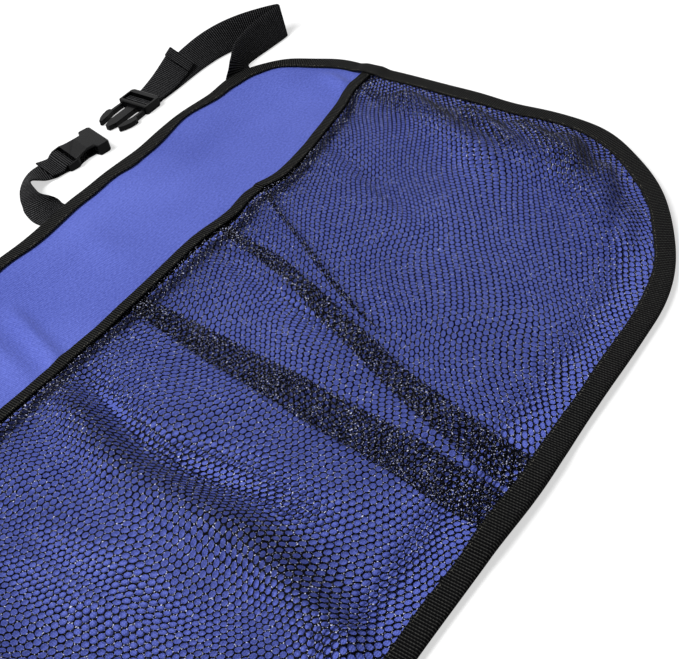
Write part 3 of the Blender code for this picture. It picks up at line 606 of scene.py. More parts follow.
# One tape through rows of points across it, and the line of its seam.
def makeTapePiece(name, rows, run, node, looped=False):
    points = wavy(np.stack(rows, 1))
    steps = np.linalg.norm(np.diff(points, axis=1), axis=2).mean(0)
    across = np.concatenate([[0], np.cumsum(steps)])
    flat = np.stack(np.broadcast_arrays(run[:, None], across[None]), -1)
    if looped:
        flat = np.concatenate([flat, flat[:1] + np.array([run[-1] + binding["step"], 0])])
    obj = placeObject(name, sheetMesh(name, points, flat, looped))
    thicken(obj, layer["tape"], 0.0)
    dress(obj, bindingTape, "tape", node)
    return obj, mix(points[:, 0], points[:, 1], seamShare) + np.array([0, 0, layer["tape"] / 2])


def makeEdgeBinding():
    x, y, outX, outY, run = rimPath(binding["step"])
    short, long = binding["waverRuns"]
    wave = np.sin(run / short) + 0.8 * np.sin(run / long + 1.3)
    leg = binding["leg"] + binding["waver"] * 0.5 * wave + bumps(alongRim(x, y)[0], rim["tapeWidth"])
    base = rimLift - tapeStep + layer["tape"] / 2
    fold = 0.5 * (layer["backing"] + layer["net"] + 3 * layer["clearance"] + layer["tape"])
    rows = []
    for share, level in tapeSection((1.0, 0.85, 0.6, 0.3, 0.0), (25, 50, 75, 90, 105, 130, 155)):
        if share is None:
            inset = fold * (1 - math.sin(math.radians(level)))
            height = 0.5 + 0.5 * math.cos(math.radians(level))
        else:
            inset = mix(fold, leg, share)
            height = level
        px = x - outX * inset
        py = y - outY * inset
        rows.append(np.stack([px, py, base + height * bindingRise(px, py)], -1))
    return makeTapePiece("edgeBinding", rows, run, "edge_binding", looped=True)


edgeBinding, edgeSeam = makeEdgeBinding()
print("edge binding ready")


def makeMouthBinding():
    last = halfWidth - panel["clothEdge"] - mouth["endGap"]
    x = np.linspace(-last, last, int(2 * last / mouth["step"]))
    low, high = pleatReach("head", "headWidth")
    before, after, ramp = mouth["overPleats"]
    pleated = window(np.abs(x), low - before, high + after, ramp)
    pleated = 2 * pleatStep * np.maximum(pleated, tuckShare(np.abs(x), 1.0, mouth["overTuck"]))
    rise = layer["net"] / 2 + layer["clearance"] + layer["tape"] / 2
    edge = mouthY(x)
    inner = netLevel(x, edge - mouth["leg"]) + layer["net"] / 2
    outer = netLevel(x, edge) + layer["net"] / 2
    rows = []
    for share, level in tapeSection((1.0, 0.8, 0.5, 0.2, 0.0), (30, 60, 90, 120, 150)):
        if share is None:
            y = edge + layer["clearance"] + rise * math.sin(math.radians(level))
            height = math.cos(math.radians(level))
            z = outer + pleated * (0.5 + 0.5 * height) + rise * height
        else:
            y = edge + layer["clearance"] - (mouth["leg"] + layer["clearance"]) * share
            z = mix(outer, inner, share) + (rise + pleated if level else -rise)
        rows.append(np.stack([x, y, z], -1))
    return makeTapePiece("mouthBinding", rows, x, "pocket_mouth_binding")


mouthSeam = makeMouthBinding()[1]
print("mouth binding ready")


net = {
    "cellWidth": 3.38 * millimetre,
    "cellHeight": 4.28 * millimetre,
    "hole": (0.80, 0.675),  # of the cell: along and across a slanting row
    "crown": 0.25 * millimetre,
    "waver": 0.14 * millimetre,
    "waverScale": 420.0,
    "weld": 0.12 * millimetre,
    "columns": 120,  # of cells in each of the three pieces, even
    "rows": 74,
    "middleHeight": -0.058,
    "surfaceRows": 110,
    "surfaceStep": 0.0040,
    "intoCorner": (0.020, 0.030),  # past the straight edge, where columns follow the round one
    "finer": (0.20, 0.13, 0.22),  # cells towards the ends: from, over, share
    "stretch": (0.0045, 0.018),  # of the rows below the mouth: how far, and over what run
    "tightRim": (0.27, 0.036),  # how much the holes close along the rim, where the knit is gathered and where the denser black yarn is also painted shade, and over what run
    "tightRimFrom": (0.32, -0.15, 0.06),  # X, Y and how far it fades
    "tightMouth": (0.18, 0.010),
    "unrest": (0.0010, 0.3, 0.025),  # small folds: rise, share of all folds at the mouth, and its run
}
netFolds = (  # of the net above the backing
    ((0.089, 0.072), (0.063, -0.010), 0.0040, 0.009, 0.01, 0.015),
    ((0.063, -0.010), (0.064, -0.110), 0.0035, 0.012, 0.02, 0.030),
    ((0.106, 0.070), (0.082, -0.012), -0.0060, 0.009, 0.01, 0.015),
    ((0.084, -0.012), (0.092, -0.120), -0.0060, 0.016, 0.02, 0.030),
    ((0.229, 0.070), (0.196, -0.050), -0.0060, 0.008, 0.01, 0.030),
    ((0.262, 0.075), (0.225, -0.060), 0.0025, 0.012, 0.01, 0.030),
    ((0.355, 0.070), (0.308, -0.030), -0.0045, 0.007, 0.01, 0.030),
    ((0.340, 0.072), (0.296, -0.030), 0.0030, 0.008, 0.01, 0.030),
    ((0.012, 0.080), (0.010, -0.100), -0.0040, 0.014, 0.01, 0.050),
)
gathersAndShade = (  # where folds close the holes further: knit bunched there, and partly painted shade, denser black yarn along the folds' shadow bands
    ((0.0914, 0.0737), (0.0778, 0.0348), 0.15, 0.010, 0.01, 0.015),
    ((0.0778, 0.0348), (0.0689, -0.0103), 0.17, 0.013, 0.015, 0.015),
    ((0.0689, -0.0103), (0.0706, -0.0702), 0.17, 0.014, 0.015, 0.015),
    ((0.0706, -0.0702), (0.0577, -0.1328), 0.17, 0.015, 0.015, 0.015),
    ((0.0577, -0.1328), (0.0431, -0.1636), 0.14, 0.015, 0.015, 0.015),
    ((0.4171, 0.0206), (0.3979, -0.0212), 0.15, 0.009, 0.010, 0.015),
    ((0.4001, -0.0262), (0.3895, -0.0560), 0.15, 0.008, 0.010, 0.010),
    ((0.4207, -0.0470), (0.4047, -0.0766), 0.15, 0.008, 0.010, 0.010),
    ((0.4123, -0.0770), (0.3894, -0.1164), 0.13, 0.011, 0.010, 0.010),
    ((0.3817, -0.1390), (0.3667, -0.1603), 0.12, 0.009, 0.010, 0.010),
)
netDrift = (  # how far the knit's rows wander: run across, run up, size across and up, phase
    (0.160, 0.110, 0.0026, 0.0014, 0.4),
    (0.085, 0.230, 0.0014, 0.0022, 1.9),
    (0.050, 0.064, 0.0004, 0.0005, 3.1),
)


# Where a pleat's middle runs, and half its width.
def pleatLine(pleat, height):
    along = mix(pleat["foot"], pleat["head"], height ** pleat["bend"])
    along = along + pleat["sway"] * np.sin(2 * math.pi * height)
    if pleat is tuck:
        return along, tuck["headWidth"] * tuckOpen(height) / 2
    return along, mix(pleat["footWidth"], pleat["headWidth"], height ** pleat["narrow"]) / 2


# Right half of the net, from the middle out: each column's x at every height, and its layer there.
def netColumns(height):
    turn = pleatStep / 2

    def fold(pleat, side, out, level):
        along, half = pleatLine(pleat, height)
        reach = out * turn * np.minimum(1, half / 0.001)
        return along + side * (half + reach), level + 0 * height

    inner, outer = pleats
    stations = [(0 * height, 0 * height)]
    turned = ((0, 0), (0.8, 0.2), (1, 0.5), (0.8, 0.8), (0, 1))  # round one fold: how far out, how high
    for pleat, side, base, climb in ((inner, 1, 0, 1), (inner, -1, 1, 1), (outer, 1, 2, -1), (outer, -1, 1, -1)):
        stations += [fold(pleat, side, out, base + climb * level) for out, level in turned]
    for side, base in ((1, 0), (-1, 1)):
        for out, level in ((0, 0), (1, 0.5), (0, 1)):
            stations.append((fold(tuck, side, out, 0)[0], (base + level) * tuckOpen(height)))
    straight = halfWidth - panel["bottomCorner"]
    for extra in net["intoCorner"]:
        along = straight + extra + 0 * height
        stations.append((along, 2 * tuckShare(along, height)))
    xs, levels = [], []
    for (begin, low), (end, high) in zip(stations, stations[1:]):
        count = max(1, round(np.abs(begin - end).max() / net["surfaceStep"]))
        for step in range(count):
            xs.append(mix(begin, end, step / count))
            levels.append(mix(low, high, step / count))
    reach = panel["bottomCorner"] - panel["clothEdge"]
    for bend in np.linspace(math.asin(extra / reach), math.pi / 2, 48):
        xs.append(straight + reach * math.sin(bend) + 0 * height)
        levels.append(2 * tuckShare(xs[-1], height))
    return np.stack(xs, 1), np.stack(levels, 1)


def belowMouth(x, y):
    return mouthY(x) - mouth["leg"] - y


# Soft folds of the loose net, gone where it is sewn down.
def foldHeight(x, y):
    rise, least, run = net["unrest"]
    total = rise * np.sin(x / 0.019 + y / 0.034) * np.sin(y / 0.024 - x / 0.050 + 1.0) + ridges(x, y, netFolds)
    free = edgeDistance(x, y) - binding["leg"] - pocket["liftStart"]
    return total * smooth(free / pocket["liftRun"]) * mix(least, 1.0, smooth(belowMouth(x, y) / run))


# The folded net as one plain sheet, with each point's place on the flat net.
def makePocketSurface():
    height = np.linspace(0, 1, net["surfaceRows"])
    height = 0.5 * height + 0.5 * smooth(height)
    x, levels = netColumns(height)
    height = height[:, None]
    y = mix(netFootY(x), mouthY(x), height)
    z = netLevel(x, y) + layer["net"] / 2 + foldHeight(x, y) + levels * pleatStep
    across = np.concatenate([np.zeros((len(x), 1)), np.cumsum(np.abs(np.diff(x, axis=1)), axis=1)], 1)
    stretch, run = net["stretch"]
    up = y + stretch * np.exp(-belowMouth(x, y) / run)
    for runAcross, runUp, sizeAcross, sizeUp, phase in netDrift:
        swing = np.sin(2 * math.pi * (x / runAcross + y / runUp) + phase)
        across = across + sizeAcross * swing * np.minimum(1, x / 0.02)
        up = up + sizeUp * np.cos(2 * math.pi * (x / runAcross - y / runUp) + phase)
    start, run, share = net["finer"]
    beyond = np.maximum(0, x - start)
    across = across + share * np.where(beyond < run, beyond**2 / (2 * run), beyond - run / 2)
    # Partly painted shade: the holes close further along the far rim and the fold lines, laying more black yarn where
    # their shade falls, besides the knit bunched there and below the mouth.
    share, run = net["tightRim"]
    fromX, fromY, fade = net["tightRimFrom"]
    byRim = share * np.exp(-((edgeDistance(x, y) - binding["leg"]) / run) ** 2)
    byRim = byRim * smooth((x - fromX) / fade) * smooth((y - fromY) / fade)
    share, run = net["tightMouth"]
    tight = np.maximum(byRim, share * np.exp(-belowMouth(x, y) / run)) + ridges(x, y, gathersAndShade)
    right = wavy(np.stack([x, y, z], -1))
    rightFlat = np.stack([across, up], -1)
    flip = np.array([-1, 1, 1])
    points = np.concatenate([(right * flip)[:, :0:-1], right], 1)
    flat = np.concatenate([(rightFlat * flip[:2])[:, :0:-1], rightFlat], 1)
    tight = np.concatenate([tight[:, :0:-1], tight], 1)
    mesh = sheetMesh("pocketSurface", points, flat)
    mesh.attributes.new("tight", "FLOAT", "POINT").data.foreach_set("value", tight.reshape(-1).astype(np.float32))
    return mesh, across[:, -1].mean()


def newTree(name, inputs):
    tree = bpy.data.node_groups.new(name, "GeometryNodeTree")
    tree.interface.new_socket("Geometry", in_out="INPUT", socket_type="NodeSocketGeometry")
    tree.interface.new_socket("Geometry", in_out="OUTPUT", socket_type="NodeSocketGeometry")
    for label, kind in inputs.items():
        tree.interface.new_socket(label, in_out="INPUT", socket_type="NodeSocket" + kind)
    return tree, addNode(tree, "NodeGroupInput").outputs, addNode(tree, "NodeGroupOutput")


# Ends a tree in plain smooth faces of one material.
def closeTree(tree, end, geometry, mat):
    soft = addNode(tree, "GeometryNodeSetShadeSmooth", None, {"Geometry": geometry})
    whole = addNode(tree, "GeometryNodeRealizeInstances", None, {"Geometry": soft})
    coloured = addNode(tree, "GeometryNodeSetMaterial", None, {"Geometry": whole, "Material": mat})
    tree.links.new(coloured.outputs[0], end.inputs[0])


# Runs a tree on the object and keeps its result as a plain mesh.
def grow(obj, tree, values):
    step = obj.modifiers.new(tree.name, "NODES")
    step.node_group = tree
    known = {item.name: item.identifier for item in tree.interface.items_tree if item.in_out == "INPUT"}
    for label, value in values.items():
        step[known[label]] = value
    graph = bpy.context.evaluated_depsgraph_get()
    mesh = bpy.data.meshes.new_from_object(obj.evaluated_get(graph))
    obj.modifiers.remove(step)
    return mesh


# A flat lattice of cells, each a ring of twelve quads from a hexagon to a round hole a little
# lower, is laid on the pocket's surface by the place of each point on the flat net.
def netTree():
    tree, value, end = newTree("Knitted net", {
        "Span X": "Float", "Span Y": "Float", "Columns": "Int", "Rows": "Int", "Stagger": "Float",
        "Middle": "Vector", "Cell": "Vector", "Hole X": "Vector", "Hole Y": "Vector", "Waver": "Float",
        "Yarn": "Material"})
    lattice = addNode(tree, "GeometryNodeMeshGrid", None, {
        "Size X": value["Span X"], "Size Y": value["Span Y"],
        "Vertices X": value["Columns"], "Vertices Y": value["Rows"]})
    index = addNode(tree, "GeometryNodeInputIndex")
    column = addNode(tree, "ShaderNodeMath", {"operation": "DIVIDE"}, {0: index, 1: value["Rows"]})
    column = addNode(tree, "ShaderNodeMath", {"operation": "FLOOR"}, {0: column})
    odd = addNode(tree, "ShaderNodeMath", {"operation": "MODULO"}, {0: column, 1: 2.0})
    offset = addNode(tree, "ShaderNodeMath", {"operation": "MULTIPLY"}, {0: odd, 1: value["Stagger"]})
    shift = addNode(tree, "ShaderNodeCombineXYZ", None, {1: offset})
    centred = addNode(tree, "ShaderNodeVectorMath", {"operation": "ADD"}, {0: shift, 1: value["Middle"]})
    places = addNode(tree, "GeometryNodeSetPosition", None, {"Geometry": lattice, "Offset": centred})

    ring = addNode(tree, "GeometryNodeMeshCircle", {"fill_type": "NGON"}, {"Vertices": 12, "Radius": 1.0})
    here = addNode(tree, "GeometryNodeInputPosition")
    onSide = addNode(tree, "ShaderNodeMath", {"operation": "MODULO"}, {0: index, 1: 2.0})
    nearer = addNode(tree, "ShaderNodeMath", {"operation": "MULTIPLY_ADD"}, {
        0: onSide, 1: math.sqrt(0.75) - 1, 2: 1.0})
    corner = addNode(tree, "ShaderNodeVectorMath", {"operation": "SCALE"}, {0: here, "Scale": nearer})
    hexagon = addNode(tree, "GeometryNodeSetPosition", None, {"Geometry": ring, "Position": corner})
    wall = addNode(tree, "GeometryNodeExtrudeMesh", {"mode": "FACES"}, {"Mesh": hexagon, "Offset Scale": 0.0})
    circle = addNode(tree, "ShaderNodeVectorMath", {"operation": "NORMALIZE"}, {0: here})
    holeX, holeY = (addNode(tree, "ShaderNodeVectorMath", {"operation": "DOT_PRODUCT"}, {
        0: circle, 1: value[label]}) for label in ("Hole X", "Hole Y"))
    sunk = addNode(tree, "ShaderNodeCombineXYZ", None, {
        0: holeX.outputs["Value"], 1: holeY.outputs["Value"], 2: -1.0})
    holed = addNode(tree, "GeometryNodeSetPosition", None, {
        "Geometry": wall.outputs["Mesh"], "Selection": wall.outputs["Top"], "Position": sunk})
    depth = addNode(tree, "ShaderNodeSeparateXYZ", None, {0: here})
    onHole = addNode(tree, "FunctionNodeCompare", {"operation": "LESS_THAN"}, {0: depth.outputs[2], 1: -0.5})
    toCentre = addNode(tree, "ShaderNodeVectorMath", {"operation": "SCALE"}, {0: here, "Scale": onHole})
    for factor in (value["Cell"], (-1, -1, 0)):
        toCentre = addNode(tree, "ShaderNodeVectorMath", {"operation": "MULTIPLY"}, {0: toCentre, 1: factor})
    marked = addNode(tree, "GeometryNodeStoreNamedAttribute", {"data_type": "FLOAT_VECTOR"}, {
        "Geometry": holed, "Name": "inward", "Value": toCentre})
    opened = addNode(tree, "GeometryNodeDeleteGeometry", {"domain": "FACE"}, {
        "Geometry": marked, "Selection": wall.outputs["Top"]})
    cell = addNode(tree, "GeometryNodeTransform", None, {"Geometry": opened, "Scale": value["Cell"]})

    cells = addNode(tree, "GeometryNodeInstanceOnPoints", None, {"Points": places, "Instance": cell})
    real = addNode(tree, "GeometryNodeRealizeInstances", None, {"Geometry": cells})
    knit = addNode(tree, "GeometryNodeMergeByDistance", None, {"Geometry": real, "Distance": net["weld"]})
    rough = addNode(tree, "ShaderNodeTexNoise", None, {"Vector": here, "Scale": net["waverScale"], "Detail": 1.0})
    shake = addNode(tree, "ShaderNodeVectorMath", {"operation": "SUBTRACT"}, {
        0: rough.outputs["Color"], 1: (0.5, 0.5, 0.5)})
    shaken = addNode(tree, "ShaderNodeVectorMath", {"operation": "SCALE"}, {0: shake, "Scale": value["Waver"]})
    uneven = addNode(tree, "GeometryNodeSetPosition", None, {"Geometry": knit, "Offset": shaken})

    flat = addNode(tree, "GeometryNodeInputNamedAttribute", {"data_type": "FLOAT_VECTOR"}, {"Name": "flat"})
    facing = addNode(tree, "GeometryNodeInputNormal")
    tight = addNode(tree, "GeometryNodeInputNamedAttribute", {"data_type": "FLOAT"}, {"Name": "tight"})
    closing = addNode(tree, "GeometryNodeSampleUVSurface", {"data_type": "FLOAT"}, {
        "Mesh": value["Geometry"], "Value": tight.outputs["Attribute"], "UV Map": flat.outputs["Attribute"],
        "Sample UV": here})
    inward = addNode(tree, "GeometryNodeInputNamedAttribute", {"data_type": "FLOAT_VECTOR"}, {"Name": "inward"})
    closed = addNode(tree, "ShaderNodeVectorMath", {"operation": "SCALE"}, {
        0: inward.outputs["Attribute"], "Scale": closing.outputs["Value"]})
    gathered = addNode(tree, "GeometryNodeSetPosition", None, {"Geometry": uneven, "Offset": closed})
    place, out = (addNode(tree, "GeometryNodeSampleUVSurface", {"data_type": "FLOAT_VECTOR"}, {
        "Mesh": value["Geometry"], "Value": field, "UV Map": flat.outputs["Attribute"],
        "Sample UV": here}) for field in (here, facing))
    proud = addNode(tree, "ShaderNodeVectorMath", {"operation": "SCALE"}, {
        0: out.outputs["Value"], "Scale": depth.outputs[2]})
    laid = addNode(tree, "ShaderNodeVectorMath", {"operation": "ADD"}, {0: place.outputs["Value"], 1: proud})
    beyond = addNode(tree, "FunctionNodeBooleanMath", {"operation": "NOT"}, {0: place.outputs["Is Valid"]})
    cut = addNode(tree, "GeometryNodeDeleteGeometry", {"domain": "POINT"}, {
        "Geometry": gathered, "Selection": beyond})
    draped = addNode(tree, "GeometryNodeSetPosition", None, {"Geometry": cut, "Position": laid})
    closeTree(tree, end, draped, value["Yarn"])
    return tree


def makeNet():
    surface, reach = makePocketSurface()
    source = placeObject("pocketSurface", surface)
    tree = netTree()
    width, height = net["cellWidth"], net["cellHeight"]
    long, short = net["hole"]
    pieces = []
    for name, side, slant in (("netLeft", -1, 30), ("netMiddle", 0, -30), ("netRight", 1, 30)):
        sine, cosine = math.sin(math.radians(slant)), math.cos(math.radians(slant))
        lean = (long - short) * sine * cosine
        mesh = grow(source, tree, {
            "Span X": (net["columns"] - 1) * width, "Span Y": (net["rows"] - 1) * height,
            "Columns": net["columns"], "Rows": net["rows"], "Stagger": height / 2,
            "Middle": (side * net["columns"] * width, net["middleHeight"], 0.0),
            "Cell": (width / 1.5, height / math.sqrt(3), net["crown"]),
            "Hole X": (long * cosine**2 + short * sine**2, lean, 0.0),
            "Hole Y": (lean, long * sine**2 + short * cosine**2, 0.0),
            "Waver": net["waver"], "Yarn": yarn})
        obj = placeObject(name, mesh)
        dress(obj, yarn, "net", "mesh_pocket")
        print(name, len(mesh.polygons), "faces of a flat width", round(reach, 3))
        pieces.append(obj)
    bpy.data.objects.remove(source)
    return pieces


netPieces = makeNet()
print("net ready")


stitch = {"pitch": 3.2 * millimetre, "length": 2.4 * millimetre, "thickness": 0.40 * millimetre}


def stitchTree():
    tree, value, end = newTree("Lockstitch seam", {
        "Pitch": "Float", "Length": "Float", "Thickness": "Float", "Thread": "Material"})
    path = addNode(tree, "GeometryNodeMeshToCurve", None, {"Mesh": value["Geometry"]})
    even = addNode(tree, "GeometryNodeResampleCurve", {"mode": "LENGTH"}, {"Curve": path, "Length": value["Pitch"]})
    bead = addNode(tree, "GeometryNodeMeshUVSphere", None, {"Segments": 6, "Rings": 4, "Radius": 0.5})
    tangent = addNode(tree, "GeometryNodeInputTangent")
    aim = addNode(tree, "FunctionNodeAlignEulerToVector", {"axis": "X"}, {"Vector": tangent})
    size = addNode(tree, "ShaderNodeCombineXYZ", None, {
        0: value["Length"], 1: value["Thickness"], 2: value["Thickness"]})
    stitches = addNode(tree, "GeometryNodeInstanceOnPoints", None, {
        "Points": even, "Instance": bead, "Rotation": aim, "Scale": size})
    closeTree(tree, end, stitches, value["Thread"])
    return tree


def makeStitches(tree, name, seam, closed):
    path = bpy.data.meshes.new(name + "Path")
    edges = [(index, index + 1) for index in range(len(seam) - 1)]
    if closed:
        edges.append((len(seam) - 1, 0))
    path.from_pydata(seam.tolist(), edges, [])
    source = placeObject(name + "Path", path)
    mesh = grow(source, tree, {
        "Pitch": stitch["pitch"], "Length": stitch["length"], "Thickness": stitch["thickness"], "Thread": thread})
    bpy.data.objects.remove(source)
    dress(placeObject(name, mesh), thread, "tape")


seams = stitchTree()
makeStitches(seams, "edgeStitches", edgeSeam, True)
makeStitches(seams, "mouthStitches", mouthSeam[3:-3], False)
print("stitches ready")


strap = {
    "width": 0.025,
    "sewnLength": 0.0125,
    "shortFromEnd": 0.2425,  # of the panel, along X
    "longFromEnd": 0.048,
    "shortEnd": 0.0135,  # back past the buckle's bar
    "tail": 0.047,
    "tailFan": 0.0065,
    "tailRise": 0.0008,
    "hem": 0.008,
    "looseLoop": 0.0016,  # of the webbing round the socket's bar
    "selvage": 0.0005,  # width of its rounded edge
    "selvageShare": 0.55,  # of the thickness left there
    "underside": 0.03,  # its place beside the upper side on the flat map
}
socketPlace = (51.7, 43.9, -13.0)  # from the strap's place at the panel's edge, and its turn
plugPlace = (-69.3, 43.7, 180.0)
socket = {"bar": 0.0030, "barHeight": 0.0024, "slot": 0.0050}
plug = {"bar": 0.0030, "front": -0.0055, "lockHeight": 0.0020, "rearGap": 0.0030, "frame": 0.0160}
flatLevel = layer["webbing"] / 2 / millimetre
shortAt = (halfWidth - strap["shortFromEnd"]) / millimetre
longAt = (halfWidth - strap["longFromEnd"]) / millimetre
top = halfHeight / millimetre


def catmullRom(a, b, c, d, share):
    square, cube = share * share, share**3
    return 0.5 * (2 * b + (c - a) * share + (2 * a - 5 * b + 4 * c - d) * square + (3 * b - 3 * c + d - a) * cube)


def pathNormals(path):
    normals = []
    for index, (_, across) in enumerate(path):
        before = path[max(index - 1, 0)][0]
        after = path[min(index + 1, len(path) - 1)][0]
        normals.append((after - before).cross(across).normalized())
    return normals


# A smooth run through (middle of the webbing, direction across it), one edge on the floor.
def smoothPath(stations, steps):
    out = []
    last = len(stations) - 1
    for index in range(last):
        four = [stations[min(max(index + shift, 0), last)] for shift in (-1, 0, 1, 2)]
        for step in range(steps):
            middle, across = (catmullRom(*part, step / steps) for part in zip(*four))
            out.append((middle, across.normalized()))
    out.append(stations[last])
    for (middle, across), normal in zip(out, pathNormals(out)):
        reach = abs(across.z) * strap["width"] + abs(normal.z) * layer["webbing"]
        middle.z = reach / 2 + layer["clearance"]
    out[0][0].z += layer["clearance"]
    return out


# Stations from rows of mm, both X and Y from the strap's place at the panel's edge: where the
# webbing's lower edge stands, and a point with its height that the other edge faces.
def fromEdges(strapAt, rows):
    out = []
    for x, y, *other, height in rows:
        lower = Vector((strapAt + x, top + y, flatLevel)) * millimetre
        across = (Vector((strapAt + other[0], top + other[1], height)) * millimetre - lower).normalized()
        out.append((lower + across * strap["width"] / 2, across))
    return out


def placeOf(strapAt, spot):
    x, y, turn = spot
    move = Matrix.Translation(Vector((strapAt + x, top + y, 0)) * millimetre)
    return move @ Matrix.Rotation(math.radians(turn), 4, "Z")


def wrap(place, points):
    across = place.to_3x3() @ Vector((0, 1, 0))
    return [(place @ Vector((x, 0, z)), across) for x, z in points]


# Webbing round a bar: in below it, up its near face and back over it.
def roundBar(near, far, low, high, loose):
    off = layer["clearance"] + layer["webbing"] / 2
    points = []
    for start, level in ((-90, low), (0, high)):
        for step in range(7):
            bend = math.radians(start + 15 * step)
            points.append((near + (off + loose) * math.cos(bend), level + off * math.sin(bend)))
    return points + [(far, high + off)]


# The end of a path doubled back on top of itself, a little to the side and higher.
def laidBack(path, length, fan, rise):
    normals = pathNormals(path)
    out = []
    run = 0.0
    for index in range(len(path) - 1, 0, -1):
        middle, across = path[index]
        share = (run / length) ** 2
        up = normals[index] * (webbingStep + rise * share)
        out.append((middle + up - across * fan * share, across))
        run += (path[index - 1][0] - middle).length
        if run > length:
            break
    return out


def hem(path):
    middle, across = path[-1]
    along = (middle - path[-2][0]).normalized()
    up = across.cross(along).normalized()
    half = webbingStep / 2
    out = []
    for step in range(1, 8):
        bend = math.radians(180 * step / 8)
        out.append((middle + along * half * math.sin(bend) + up * half * (1 - math.cos(bend)), across))
    out.append((middle + up * 2 * half, across))
    for step in range(1, 5):
        out.append((middle + up * 2 * half - along * strap["hem"] * step / 4, across))
    return out


def shortStrapRun():
    half, sewn = strap["width"] / 2 / millimetre, strap["sewnLength"] / millimetre
    return fromEdges(shortAt, [
        (-half, -sewn, 0, -sewn, flatLevel),
        (-half, 1, 0, 1, flatLevel),
        (-12.6, 10.5, 12, 7.5, 1.3),
        (-9.6, 22, 11.3, 10.8, 3.6),
        (-3.5, 33, 8, 13.5, 9.0),
        (2, 41.5, 5.6, 19, 11.5),
        (9, 49.5, 7.6, 27, 12.4),
        (16.8, 55.5, 10.6, 34.5, 12.4),
        (23.5, 59, 14.6, 37.5, 10.5),
        (29.5, 60.8, 20, 39.2, 6.5),
        (36, 60.6, 26, 38.5, 2.6),
        (41.5, 59, 32.5, 36, 0.9),
    ])


def longStrapRun():
    return fromEdges(longAt, [
        (10.2, -19, -3, -14.4, flatLevel),
        (14.2, -6.4, -9.3, 0, flatLevel),
        (15.5, -4, -9, -1.5, 6),
        (17.0, -1.6, -7, -2.5, 11.5),
        (18.6, -0.2, -1.3, -1.5, 16),
        (21.2, 0.2, 2.7, 0.2, 18.5),
        (25.0, 0, 9, 3.6, 20.2),
        (31.5, -0.4, 18.5, 7, 20.8),
        (40, -1.2, 30.5, 9.5, 21.8),
        (51.5, -2.2, 49, 10.5, 22.0),
        (62, -2.8, 66.5, 8, 22.7),
        (66.8, -2.4, 73.5, 7, 22.8),
        (68.2, -0.4, 75.3, 9, 22.8),
        (66.6, 2.2, 73.4, 10.8, 23.4),
        (60, 8.6, 65.7, 16, 24.4),
        (49.5, 16.3, 54, 26, 23.4),
        (39.5, 22, 42, 34.5, 21.8),
        (29, 26.2, 30, 42, 19.4),
        (16, 29.6, 16.5, 49, 15.5),
        (0, 31.2, 0, 53, 11.5),
        (-17, 31.3, -16.8, 54.5, 8.0),
        (-34, 30.9, -33.8, 55, 4.0),
    ])


# A strap's run, on under its buckle, and the points round the bar there.
def pathToBar(place, stations, steps, lead, near, far, height, loose):
    run = [(middle, -across) for middle, across in stations]
    path = run[:1] + smoothPath(run[1:] + wrap(place, lead[:2]), steps) + wrap(place, lead[2:])
    low = webbingStep + layer["clearance"]
    return path, roundBar(near, far, low, low + height, loose)


def shortStrapPath():
    place = placeOf(shortAt, socketPlace)
    near = -socket["slot"] / 2
    far = near - socket["bar"]
    level = layer["webbing"] / 2
    lead = [(far + step * millimetre, level) for step in (-6, -3, -0.5)] + [((near + far) / 2, level)]
    main, back = pathToBar(place, shortStrapRun(), 12, lead, near, far, socket["barHeight"], strap["looseLoop"])
    over = back[-1][1]
    rest = level + webbingStep
    end = far - strap["shortEnd"]
    settle = [
        (far - 0.0012, mix(rest, over, 0.80)),
        (far - 0.0026, mix(rest, over, 0.35)),
        (far - 0.0040, rest + 0.00025),
        (mix(far, end, 0.65), rest + 0.0009),
        (end, rest + 0.0020),
    ]
    return main + wrap(place, back + settle)


def longStrapPath():
    place = placeOf(longAt, plugPlace)
    near = plug["front"]
    far = near - plug["bar"]
    rearNear = far - plug["rearGap"]
    rearFar = -plug["frame"] + 0.0015
    level = layer["webbing"] / 2
    lead = [(rearFar + step, level) for step in (-0.007, -0.004, -0.0005)]
    lead += [(far - 0.0015, level), (far + 0.0015, level)]
    main, back = pathToBar(place, longStrapRun(), 9, lead, near, far, plug["lockHeight"], 0.0)
    over = back[-1][1]
    rest = level + webbingStep
    settle = [
        (far - 0.00075, mix(rest, over, 0.90)),
        (far - 0.0011, mix(rest, over, 0.62)),
        (far - 0.0016, mix(rest, over, 0.27)),
        (rearNear - 0.0002, rest + 0.0001),
        (rearFar - 0.0005, rest),
    ]
    tail = laidBack(main[:-3], strap["tail"], strap["tailFan"], strap["tailRise"])
    path = main + wrap(place, back + settle) + tail
    return path + hem(path)


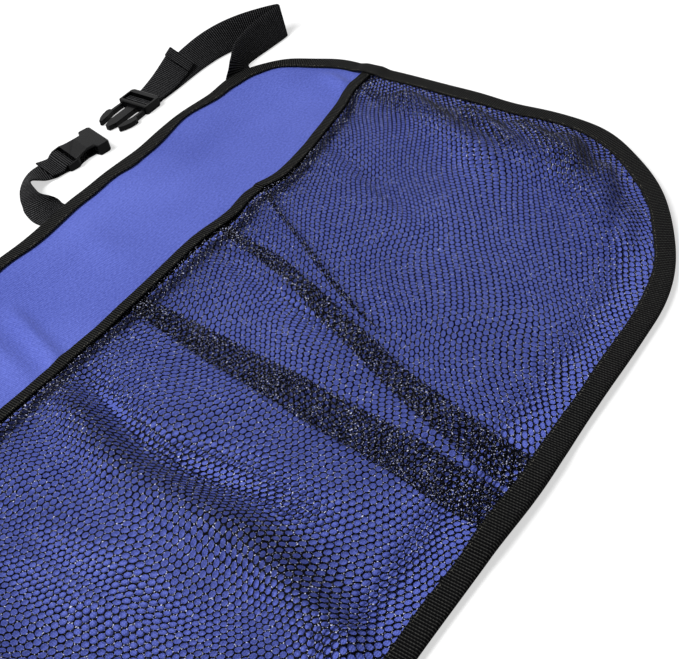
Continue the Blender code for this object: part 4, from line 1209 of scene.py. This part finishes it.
# Webbing with rounded selvages, swept along its path. Side -1 is the mirrored left one.
def makeStrap(name, path, side, node):
    half, thick = strap["width"] / 2, layer["webbing"] / 2
    edge = strap["selvageShare"] * thick
    flatHalf = half - strap["selvage"]
    spans = [-flatHalf, -0.6 * half, -0.2 * half, 0.2 * half, 0.6 * half, flatHalf]
    section = [(span, thick) for span in spans] + [(half, edge), (half, -edge)]
    section += [(span, -thick) for span in reversed(spans)] + [(-half, -edge), (-half, edge)]
    section.append(section[0])
    rows, flats = [], []
    run = 0.0
    before = path[0][0]
    for (middle, across), normal in zip(path, pathNormals(path)):
        run += (middle - before).length
        before = middle
        rows.append([middle + across * a + normal * b for a, b in section])
        flats.append([(run, a + (strap["underside"] if b < 0 else 0.0)) for a, b in section])
    points = np.array(rows)
    points[..., 0] *= side
    if side > 0:
        points = points[:, ::-1]
        flats = [row[::-1] for row in flats]
    mesh = sheetMesh(name, points, np.array(flats))
    obj = placeObject(name, mesh)
    closeEnds(mesh)
    dress(obj, strapWebbing, "webbing", node)


def closeEnds(mesh):
    bm = bmesh.new()
    bm.from_mesh(mesh)
    bmesh.ops.remove_doubles(bm, verts=bm.verts, dist=1e-6)
    bmesh.ops.holes_fill(bm, edges=bm.edges, sides=0)
    bmesh.ops.recalc_face_normals(bm, faces=bm.faces)
    bm.to_mesh(mesh)
    bm.free()


shortPath, longPath = shortStrapPath(), longStrapPath()
for end, side in (("right", 1), ("left", -1)):
    makeStrap("strapShort." + end, shortPath, side, "strap_short_" + end)
    makeStrap("strapLong." + end, longPath, side, "strap_long_" + end)
print("straps ready")


buckle = {"soften": 0.0006, "sharperThan": 35, "segments": 2}  # its edges, and their least angle in degrees

for name in ("buckle_socket_right", "buckle_socket_left", "buckle_plug_right", "buckle_plug_left"):
    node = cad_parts[name]
    node.data.materials.clear()
    node.data.materials.append(acetal)
    soften = node.modifiers.new("soften", "BEVEL")
    soften.width = buckle["soften"]
    soften.segments = buckle["segments"]
    soften.limit_method = "ANGLE"
    soften.angle_limit = math.radians(buckle["sharperThan"])
print("buckles ready")
